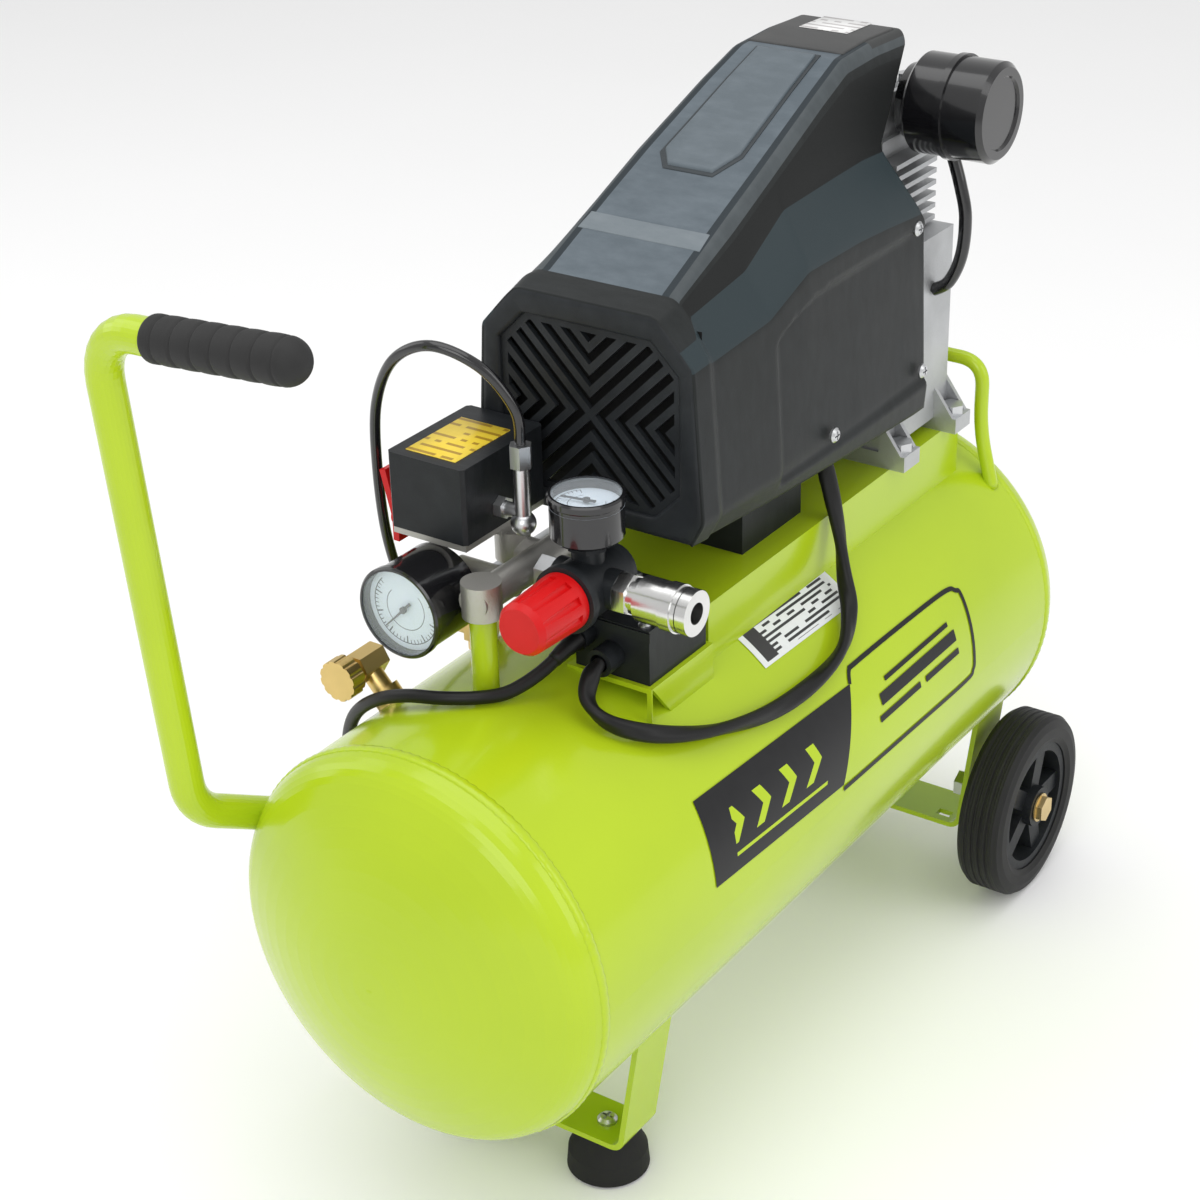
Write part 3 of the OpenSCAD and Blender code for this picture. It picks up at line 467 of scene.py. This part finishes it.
coilLine = coilPath(cord)
tail = np.array([[coilLine[-1][0], y, coilLine[-1][2] - (cord["coilAt"][1] - y) / cord["tailFall"]]
                 for y in cord["tail"]])
cordPath = np.vstack([smoothPath(cordRoute, cord["steps"]), coilLine, tail]) * mm
powerCord = tubePiece("powerCord", cordPath, cord["radius"], cordRubber)
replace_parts(powerCord, "power_cord", "cord_coil")

# lines held at both ends: piece, radius, finish, section and route in mm
heldLines = {
    "motor_cable": ("motorCable", 5.2, cordRubber, {"waist": 0.34, "twist": 2.5, "sides": 32}, [
        [40, -128, 331], [41, -137, 328], [46, -147, 319], [60, -147, 310], [76, -128, 299],
        [89, -92, 287], [97, -45, 277.5], [99, 0, 275.5], [96, 38, 279], [87, 62, 290],
        [76, 75, 305], [69, 80, 330], [61, 80, 362], [54, 79, 388]]),
    "relief_tube": ("reliefTube", 3, drumBlack, {}, [
        [-12, -120, 444], [-13, -122, 464], [-26, -132, 488], [-50, -142, 499], [-76, -142, 486],
        [-95, -136, 455], [-102, -131, 415], [-102, -127, 370], [-97, -120, 335], [-88, -110, 315],
        [-77, -100, 309]]),
    "breather_hose": ("breatherHose", 4, drumBlack, {}, [
        [63, 220, 518.8], [68, 221, 502], [72, 222, 482], [71, 221, 458], [64, 220, 440],
        [54.2, 219, 433]]),
}
for node, (name, radius, material, shape, route) in heldLines.items():
    path = smoothPath(np.array(route, float), 10) * mm
    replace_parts(tubePiece(name, path, radius * mm, material, **shape), node)

# ribbed sleeve where the lead leaves its box
relief = {"points": 10, "root": 6.2, "taper": 2.1, "ripple": 0.08, "waves": 30}
reliefLine = smoothPath(cordRoute, cord["steps"])[:relief["points"]] * mm
t = np.linspace(0, 1, len(reliefLine))
reliefRipple = 1 - relief["ripple"] * np.cos(t * relief["waves"])
reliefRadius = (relief["root"] - relief["taper"] * t) * mm * reliefRipple
tubePiece("cordRelief", reliefLine, reliefRadius, cordRubber)

grip = {"from": (-78, -312.1, 556), "to": (22, -314.0, 564), "start": 2.5, "length": 95, "radius": 11.9,
        "ribs": 6, "first": 8, "groove": 0.9, "grooveWidth": 0.9, "swell": 0.10, "rounding": 1.4,
        "tube": 9.5, "domeGap": 0.2}


def gripPoints(g):
    # distance along the axis and radius at it; the grooves are narrow dips, and the far end is a dome
    a = np.array(g["from"], float)
    axis = np.array(g["to"], float) - a
    axis /= np.linalg.norm(axis)
    side = np.cross(axis, [0, 0, 1.0])
    side /= np.linalg.norm(side)
    up = np.cross(side, axis)
    barrel = g["length"] - g["radius"]
    straight = np.linspace(0, barrel, 160)
    dome = np.linspace(0, math.pi / 2, 16)[1:]
    pitch = (barrel - g["first"]) / g["ribs"]
    fromGroove = (straight - g["first"] + pitch / 2) % pitch - pitch / 2
    dip = np.exp(-(fromGroove / g["grooveWidth"]) ** 2) * g["groove"]
    swell = g["swell"] * (1 + np.cos((straight - g["first"]) / pitch * math.tau))
    edge = g["rounding"] * np.exp(-straight / g["grooveWidth"])
    r = np.concatenate([[g["tube"]], g["radius"] - dip - swell - edge,
                        (g["radius"] - g["domeGap"]) * np.cos(dome)])
    along = np.concatenate([[0], straight, barrel + g["radius"] * np.sin(dome)]) + g["start"]
    angle = np.linspace(0, math.tau, 48, endpoint=False)[None, :, None]
    return a + along[:, None, None] * axis + r[:, None, None] * (np.cos(angle) * side + np.sin(angle) * up)


handGrip = gridPiece("handGrip", gripPoints(grip) * mm, gripRubber, closeV=True)
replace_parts(handGrip, "handle_grip")


tankLow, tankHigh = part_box("tank_shell")
tank = {"radius": 0.117, "front": tankLow[1], "rear": tankHigh[1]}
tank["z"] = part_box("tank_head_front")[1][2] - tank["radius"]
bead = {"radius": 0.0016, "ripple": 0.10, "waves": 120, "sunk": 0.0006, "spread": 2.2}


def onTank(angle, y, lift=0.0005):
    # points just above the shell: angle from the top towards +X, in radians
    r = tank["radius"] + lift
    return np.stack([r * np.sin(angle), y + 0 * angle, tank["z"] + r * np.cos(angle)], -1)


def weldBead(name, y):
    # ring round the shell with a wavy section, like a laid weld
    around = np.linspace(0, math.tau, 360, endpoint=False)[:, None]
    section = np.linspace(0, math.tau, 10, endpoint=False)[None, :]
    r = bead["radius"] * (1 + bead["ripple"] * np.sin(around * bead["waves"]))
    radius = tank["radius"] - bead["sunk"] + r * np.cos(section)
    points = np.stack([radius * np.sin(around), y + bead["spread"] * r * np.sin(section) + 0 * around,
                       tank["z"] + radius * np.cos(around)], -1)
    return gridPiece(name, points, lime, closeU=True, closeV=True, flip=True)


weldBead("weldFront", tank["front"])
weldBead("weldRear", tank["rear"])


def patchOnTank(name, corners, material):
    # four corners as (angle, y), joined by straight lines on the unrolled shell
    u = np.linspace(0, 1, 48)[None, :, None]
    v = np.linspace(0, 1, 24)[:, None, None]
    c = np.array(corners, float)
    flat = (1 - v) * ((1 - u) * c[0] + u * c[1]) + v * (u * c[2] + (1 - u) * c[3])
    return gridPiece(name, onTank(flat[..., 0], flat[..., 1]), material)


inkBlack = decalInk()
plateInk = labelPaper("plateInk", (0.80, 0.82, 0.82), (0.03, 0.03, 0.03), 11, 13, 0.26, 0.17)
patchOnTank("sideDecal", [(1.425, -0.1315), (1.488, 0.0061), (1.058, 0.0369), (0.997, -0.1274)],
            inkBlack)
patchOnTank("ratingPlate", [(0.431, -0.0187), (0.456, 0.080), (0.751, 0.080), (0.732, -0.0187)],
            plateInk)


def bandOnTank(name, route, width, material):
    # a flat strip of the given width along a route of (angle, y) on the unrolled shell
    path = smoothPath(np.array([[a * tank["radius"], y, 0] for a, y in route]), 8)
    heading = np.gradient(path, axis=0)
    heading /= np.linalg.norm(heading, axis=1, keepdims=True)
    side = np.stack([-heading[:, 1], heading[:, 0]], -1)
    across = np.linspace(-0.5, 0.5, 3)[None, :, None] * width
    flat = path[:, None, :2] + across * side[:, None]
    points = onTank(flat[..., 0] / tank["radius"], flat[..., 1])
    return gridPiece(name, points, material)


lineInk = softRubber("lineInk", 0.006, 0.35)
outlineRoute = [(1.058, 0.0369), (1.000, 0.0420), (0.992, 0.0500), (0.996, 0.1039), (1.010, 0.1600),
                (1.045, 0.1720), (1.103, 0.1759), (1.430, 0.1734), (1.505, 0.1710), (1.535, 0.1600),
                (1.525, 0.0851), (1.512, 0.0060)]
bandOnTank("outlineBand", outlineRoute, 0.0030, lineInk)
# plain bars inside the outline: angle, front, back and width
plainBars = [(1.16, 0.070, 0.150, 0.0030), (1.24, 0.060, 0.155, 0.0075), (1.33, 0.055, 0.105, 0.0040),
             (1.33, 0.112, 0.155, 0.0040)]
for k, (a, front, back, width) in enumerate(plainBars):
    bandOnTank("decalBar" + str(k), [(a, front), (a, (front + back) / 2), (a, back)], width, lineInk)
print("tank dressed")


def dialFace(name, centre, radius, facing, material):
    # disc as a grid of rings and spokes, with a flat UV map
    ring = np.linspace(0, 1, 8)[:, None]
    angle = np.linspace(0, math.tau, 64, endpoint=False)[None, :]
    x = radius * ring * np.cos(angle)
    y = radius * ring * np.sin(angle)
    c = np.array(centre)
    if facing == "front":
        points = np.stack([c[0] + x, c[1] + 0 * x, c[2] + y], -1)
    else:
        points = np.stack([c[0] + x, c[1] + y, c[2] + 0 * x], -1)
    obj = gridPiece(name, points, material, closeV=True, uv=False)
    mapPiece(obj, np.stack([x / radius, y / radius], -1).reshape(-1, 2) * 0.5 + 0.5)


dials = {"depth": 0.0069, "tank": 0.0241, "outlet": 0.0201}
low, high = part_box("tank_gauge_case")
dialFace("tankDial", ((low[0] + high[0]) / 2, low[1] + dials["depth"], (low[2] + high[2]) / 2),
         dials["tank"], "front", dialCard(0.52, 0.86, 50))
low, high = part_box("outlet_gauge_case")
dialFace("outletDial", ((low[0] + high[0]) / 2, (low[1] + high[1]) / 2, high[2] - dials["depth"]),
         dials["outlet"], "top", dialCard(0.50, 0.84, 40))
dress(nodes["gauge_dials"], castMetal("cardEdge", (0.7, 0.78, 0.86), 800, 0.4, 0.0))


cover = {
    "radius": 4.5, "wall": 2.5, "soften": (-2, -0.7, 0.7, 2),
    # the shallow recess in each side: depth, height range, and its front edge as z and y
    "recess": 3, "recessFrom": 390, "recessTo": 488,
    "recessEdge": [[398, 8], [474, 8], [482, 26], [487, 48], [490, 75]],
    # y of the mesh rows, and where they start to close up towards the back edge
    "meshRows": [(-75.5, -54, 22), (-52, 140, 86), (142, 204, 28)], "closeFrom": 120,
    # y, then x and z at the hem, low side, ridge, valley, shoulder and deck edge
    "rows": [
        [-75.5, 66, 385, 74, 400, 68, 486, 60, 495, 52, 504, 45, 511],
        [-60, 67, 384, 75, 399, 69, 488, 61, 498, 53, 508, 46, 515],
        [-57, 65, 384, 73, 398, 67, 485, 53, 507, 48, 512, 43, 515],
        [0, 68, 381, 74, 397, 68.5, 490, 52, 514, 46, 531, 42, 540.5],
        [40, 69, 379, 74, 396, 69, 505, 52, 537, 45.5, 549, 41, 557.5],
        [100, 70, 376, 74, 395, 68, 504, 51, 538, 42, 573, 38, 582],
        [132, 70, 374, 73, 394, 68, 502, 50, 538, 40, 584, 36, 594],
        [168, 70, 372, 72, 394, 68, 499, 50, 536, 39, 585, 35.5, 596],
        [204, 69, 371, 71, 394, 66, 497, 49, 530, 38, 583, 35, 595]],
    # the back edge as z and y
    "back": [[350, 182], [484, 182], [500, 172], [540, 154], [587, 204], [620, 204]],
}


def cornerWeights(lengths, radius, steps=6, between=6):
    # rounds a polyline: each inner corner becomes a short parabola, and long runs get points between.
    # Each row holds the share of every corner in one point
    count = len(lengths) + 1
    one = np.eye(count)
    rows = [one[0]]
    for i in range(1, count - 1):
        before = one[i] + (one[i - 1] - one[i]) * min(0.45, radius / lengths[i - 1])
        after = one[i] + (one[i + 1] - one[i]) * min(0.45, radius / lengths[i])
        t = np.linspace(0, 1, steps)[:, None]
        run = max(between, int(lengths[i - 1] / 2.2))
        rows += list(rows[-1] + (before - rows[-1]) * np.linspace(0, 1, run + 1)[1:-1, None])
        rows += list((1 - t) ** 2 * before + 2 * t * (1 - t) * one[i] + t ** 2 * after)
    rows += list(rows[-1] + (one[-1] - rows[-1]) * np.linspace(0, 1, between + 1)[1:, None])
    return np.array(rows)


coverKeys = np.array(cover["rows"], float)
coverX = np.concatenate([coverKeys[:, 1::2], -coverKeys[:, 1::2][:, ::-1]], 1)
coverZ = np.concatenate([coverKeys[:, 2::2], coverKeys[:, 2::2][:, ::-1]], 1)
coverRuns = np.hypot(np.diff(coverX, axis=1), np.diff(coverZ, axis=1)).mean(0)
coverWeights = cornerWeights(coverRuns, cover["radius"])
coverCorners = coverX.shape[1]
coverFront, coverBack = coverKeys[0, 0], coverKeys[-1, 0]


def coverAt(y):
    # section points at each y (rows of y against the rounded section), creases softened over 4 mm
    x = z = 0
    share = 1 / len(cover["soften"])
    for shift in cover["soften"]:
        near = np.clip(y + shift, coverFront, coverBack)
        x = x + share * sum(np.interp(near, coverKeys[:, 0], coverX[:, k]) * coverWeights[:, k]
                            for k in range(coverCorners))
        z = z + share * sum(np.interp(near, coverKeys[:, 0], coverZ[:, k]) * coverWeights[:, k]
                            for k in range(coverCorners))
    return x, z


def softStep(value, width):
    t = np.clip(value / width + 0.5, 0, 1)
    return t * t * (3 - 2 * t)


def coverSurface():
    # the back edge is found for each run of the section, and the last rows close up to end on it
    y = np.concatenate([np.linspace(*span) for span in cover["meshRows"]])[:, None]
    last = np.full((1, len(coverWeights)), coverBack)
    for turn in range(12):
        last = 0.5 * last + 0.5 * np.interp(coverAt(last)[1], *np.array(cover["back"], float).T)
    start = cover["closeFrom"]
    y = np.where(y > start, start + (y - start) * (last - start) / (coverBack - start), y + 0 * last)
    x, z = coverAt(y)
    behindEdge = softStep(y - np.interp(z, *np.array(cover["recessEdge"], float).T), 5)
    inHeight = softStep(cover["recessTo"] - z, 6) * softStep(z - cover["recessFrom"], 6)
    onSide = np.clip((np.abs(x) - 55) / 8, 0, 1)
    x = x - np.sign(x) * cover["recess"] * behindEdge * inHeight * onSide
    return np.stack([x, y, z], -1)


coverPoints = coverSurface()


def mouldedPlastic(f):
    # clouds, smears and fine grain of the cover, and the tone from 0 to 1 between its two greys
    cloud = f.noise(18, 5)
    smear = f.noise(55, 5, 0.62, (1, 2.5, 1))
    fine = f.noise(1500, 2)
    return cloud, smear, fine, ((cloud - 0.35) * 1.4 + (smear - 0.5) * 1.2).most(0).least(1)


def coverSkin():
    # the tones follow the corners of the section, counted outwards from the middle of the deck, and the
    # deck's tones start behind the front slope. The facets carry painted light and shade: the facet from
    # ridge to valley and the bevel by the deck edge are painted lighter and bluer, and the wall from valley
    # to shoulder is painted darker
    f = Finish("coverSkin")
    outwards = (f.uv(0) * (coverCorners - 1) - (coverCorners - 1) / 2).size()
    depth = f.uv(1)
    behindSlope = depth > 0.068
    cloud, smear, fine, tone = mouldedPlastic(f)
    side = f.mix(tone, (0.012, 0.014, 0.014), (0.022, 0.025, 0.026))
    # painted light: the bevel by the deck edge is a lighter, bluer grey than the sides
    paintedBevelLight = f.mix(tone, (0.055, 0.065, 0.070), (0.085, 0.098, 0.105))
    slate = f.mix(tone, (0.090, 0.112, 0.130), (0.150, 0.180, 0.205))
    # painted light: the facet from ridge to valley takes a lighter, bluer tint over the side colour
    color = f.mix((outwards > 2.5) * (outwards < 3.5), side, (0.024, 0.036, 0.041))
    layers = [
        # painted shade: the wall from valley to shoulder is near black
        ((outwards > 1.5) * (outwards < 2.5) * behindSlope, (0.008, 0.009, 0.009)),
        ((outwards < 1.2) * (outwards > 0.50) * behindSlope, paintedBevelLight),
        ((outwards < 0.42) * behindSlope, slate),
        ((outwards < 0.50) * (outwards > 0.42) * behindSlope, (0.020, 0.028, 0.034)),
        ((depth > 0.86) * (outwards < 0.8), (0.042, 0.044, 0.044))]
    for mask, tint in layers:
        color = f.mix(mask, color, tint)
    return f.done(color, 0.42 + cloud * 0.14 - smear * 0.06, f.bump(fine + cloud * 0.2, 0.25, 0.0003),
                  **{"Specular IOR Level": 0.22})


coverShell = gridPiece("coverShell", coverPoints * mm, coverSkin(), flip=True,
                       uv=False)
stations = coverWeights @ np.arange(coverCorners) / (coverCorners - 1)
coverDepth = np.clip((coverPoints[..., 1] - coverFront) / (coverBack - coverFront), 0, 1)
coverMap = np.stack([stations[None] + 0 * coverDepth, coverDepth], -1).reshape(-1, 2)


mapPiece(coverShell, coverMap)
thick = coverShell.modifiers.new("wall", "SOLIDIFY")
thick.thickness = cover["wall"] * mm
thick.offset = -1
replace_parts(coverShell, "motor_cover")


# the frame round the grille: its middle height, the hem line, and the opening's corners from its middle
collar = {
    "z": 446, "hem": 385, "hemHalf": 62,
    "hole": [[57.7, 33.7], [40.7, 50.7], [-40.7, 50.7], [-57.7, 33.7], [-57.7, -33.7], [-40.7, -50.7],
             [40.7, -50.7], [57.7, -33.7]],
    # share of the way to the opening, step past it or in from the edge, and y
    "rings": [(0, 0, -73.2), (0, 0.4, -74.6), (0.06, 0, -75.4), (0.30, 0, -75.5), (1, 2.2, -75.5),
              (1, 0.6, -74.9), (1, 0, -73.6), (1, 0, -69.4), (1, 3, -69.2)],
}


def grilleCollar(c):
    # rings from the skin's front edge in to the slanted opening round the grille
    hem = [[x, c["hem"]] for x in np.linspace(-c["hemHalf"], c["hemHalf"], 24)]
    rim = np.vstack([coverPoints[0][:, [0, 2]], hem]) - [0, c["z"]]
    corner = np.array(c["hole"] + c["hole"][:1])
    heading = np.arctan2(rim[:, 1], rim[:, 0])
    away = np.stack([np.cos(heading), np.sin(heading)], -1)
    reach = np.full(len(rim), np.inf)
    for a, b in zip(corner[:-1], corner[1:]):
        normal = np.array([b[1] - a[1], a[0] - b[0]])
        normal = normal * np.sign(normal @ a)
        share = away @ normal
        distance = (normal @ a) / np.maximum(share, 1e-6)
        reach = np.where(share > 1e-6, np.minimum(reach, distance), reach)
    hole = away * reach[:, None]
    rings = []
    for share, grow, y in c["rings"]:
        flat = rim * (1 - share) + hole * share + away * (grow if share == 1 else -grow)
        rings.append(np.column_stack([flat[:, 0], np.full(len(flat), y), flat[:, 1] + c["z"]]))
    return gridPiece("grilleCollar", np.array(rings) * mm, coverBlack, closeV=True,
                     flip=True)


grilleCollar(collar)
screen = {"half": (61, 54), "y": -60.5, "dish": 2, "z": collar["z"]}


def grilleScreen(c):
    # shallow dished net behind the slats
    u = np.linspace(-1, 1, 24)[:, None]
    v = np.linspace(-1, 1, 24)[None, :]
    points = np.stack(np.broadcast_arrays(c["half"][0] * u, c["y"] + c["dish"] * (u * u + v * v),
                                          c["z"] + c["half"][1] * v), -1)
    return gridPiece("grilleScreen", points * mm, softRubber("netBlack", 0.004, 0.75))


grilleScreen(screen)
# y and height of the deck's edge, without the front slope
deckKeys = coverKeys[2:, [0, 12]]


def deckHeight(y):
    # height of the deck along its length
    return np.interp(y, deckKeys[:, 0], deckKeys[:, 1])


def raisedPanel(name, outline, height, paintedBevelLight, material):
    # outline in x and y as a closed ring; rings step inwards and up, and the top follows the deck
    ring = np.array(outline, float)
    fine = np.linspace(0, 1, 12, endpoint=False)[None, :, None]
    ring = (ring[:, None] * (1 - fine) + np.roll(ring, -1, 0)[:, None] * fine).reshape(-1, 2)
    middle = ring.mean(0)
    reach = np.linalg.norm(ring - middle, axis=1, keepdims=True)
    rows = []
    for inset, up in [(0, -0.6), (0, height * 0.5), (paintedBevelLight * 0.4, height * 0.9), (paintedBevelLight, height)]:
        flat = middle + (ring - middle) * (1 - inset / reach)
        rows.append(np.column_stack([flat, deckHeight(flat[:, 1]) + up]))
    for share in (0.75, 0.5, 0.25, 0.0):
        flat = middle + (rows[3][:, :2] - middle) * share
        rows.append(np.column_stack([flat, deckHeight(flat[:, 1]) + height]))
    return gridPiece(name, np.array(rows) * mm, material, closeV=True)


def slateFinish(name, low, high):
    f = Finish(name)
    cloud, _, fine, tone = mouldedPlastic(f)
    bump = f.bump(fine + cloud * 0.2, 0.25, 0.0003)
    return f.done(f.mix(tone, low, high), 0.42 + cloud * 0.14, bump)


panelSlate = slateFinish("panelSlate", (0.085, 0.108, 0.125), (0.145, 0.175, 0.200))
panelRim = slateFinish("panelRim", (0.018, 0.025, 0.030), (0.030, 0.040, 0.046))
bandSlate = slateFinish("bandSlate", (0.130, 0.157, 0.175), (0.195, 0.222, 0.240))
outline = [(-26, 38), (-17, 27), (15, 27), (24, 44), (21, 133), (-21, 133)]
raisedPanel("deckPanelRim", outline, 0.7, 0.6, panelRim)
innerOutline = [(x * 0.90, 80 + (y - 80) * 0.955) for x, y in outline]
raisedPanel("deckPanel", innerOutline, 2.4, 1.4, panelSlate)
raisedPanel("deckBand", [(-39, -24), (39, -24), (38, -12), (-38, -12)], 0.4, 1.0, bandSlate)
raisedPanel("roofPanel", [(-31, 140), (31, 140), (31, 200), (-31, 200)], 1.0, 1.6,
            slateFinish("roofBlack", (0.035, 0.036, 0.036), (0.055, 0.055, 0.054)))
roofInk = labelPaper("roofInk", (0.80, 0.80, 0.79), (0.45, 0.43, 0.43), 9, 14, 0.20)


def laidSheet(name, x, y, height, turned, material):
    # label between two ends in x and in y; height gives z from y, and the edge is turned down; all in mm
    share = np.array([0, 0, 0.5, 1, 1])
    rim = np.array([1, 0, 0, 0, 1])
    across, along = np.meshgrid(x[0] + (x[1] - x[0]) * share, y[0] + (y[1] - y[0]) * share)
    z = height(along) - turned * np.maximum(rim[:, None], rim[None, :])
    return gridPiece(name, np.stack([across, along, z], -1) * mm, material)


laidSheet("roofLabel", (-16, 16), (172, 202), lambda y: deckHeight(y) + 1.5, 0.3, roofInk)
print("cover ready")

hoop = {
    "radius": 4.5, "bend": 17,
    "corners": [[-77.4, 268, 285], [-67, 268, 325], [-67, 268, 371], [67, 268, 371], [67, 268, 325],
                [77.4, 268, 285]],
}
hoopCorners = np.array(hoop["corners"], float)
hoopBends = cornerWeights(np.linalg.norm(np.diff(hoopCorners, axis=0), axis=1), hoop["bend"], 20)
rearHoop = tubePiece("rearHoop", hoopBends @ hoopCorners * mm, hoop["radius"] * mm, lime, "green_paint", 40)
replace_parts(rearHoop, "rear_hoop")
print("hoop ready")

switchInk = labelPaper("switchInk", (0.90, 0.66, 0.05), (0.42, 0.25, 0.02), 13, 17, 0.17)
caseLow, caseHigh = (np.array(end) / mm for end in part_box("switch_case"))
laidSheet("switchLabel", (caseLow[0] + 8, caseHigh[0] - 10), (caseLow[1] + 7, caseLow[1] + 56),
          lambda y: caseHigh[2] + 0.5 + 0 * y, 0.8, switchInk)
print("pieces ready")


def floorPiece(reach=8):
    f = Finish("floorPale")
    cloud = f.noise(3, 2)
    f.done(f.mix(cloud, (0.93, 0.93, 0.93), (0.95, 0.95, 0.95)), 0.75)
    corners = [(-reach, -reach, 0), (reach, -reach, 0), (reach, reach, 0), (-reach, reach, 0)]
    mesh = bpy.data.meshes.new("floor")
    mesh.from_pydata(corners, [], [(0, 1, 2, 3)])
    obj = addObject("floor", mesh)
    dress(obj, f.material)


# name, place, what it points at, width and length, and watts
lights = [
    ("softTop", (0.1, -0.2, 2.6), (0, 0, 0.2), (2.4, 2.4), 27),
    ("softFront", (0.9, -2.4, 1.6), (0, 0, 0.3), (1.6, 1.6), 18),
    ("softRight", (2.4, 0.5, 1.4), (0, 0, 0.3), (1.4, 1.8), 12),
    ("softLeft", (-2.2, -0.6, 1.6), (0, 0, 0.3), (1.4, 1.8), 8),
]
room = {"color": (1, 1, 1, 1), "strength": 0.74}


def areaLight(name, place, target, size, power):
    data = bpy.data.lights.new(name, "AREA")
    data.shape = "RECTANGLE"
    data.size, data.size_y = size
    data.energy = power
    obj = addObject(name, data)
    obj.location = place
    obj.rotation_euler = (Vector(target) - Vector(place)).to_track_quat("-Z", "Y").to_euler()


floorPiece()
for light in lights:
    areaLight(*light)
world = bpy.data.worlds.new("paleRoom")
world.use_nodes = True
background = world.node_tree.nodes["Background"]
background.inputs[0].default_value = room["color"]
background.inputs[1].default_value = room["strength"]
bpy.context.scene.world = world
bpy.context.scene.view_settings.view_transform = "Standard"

print("scene ready")
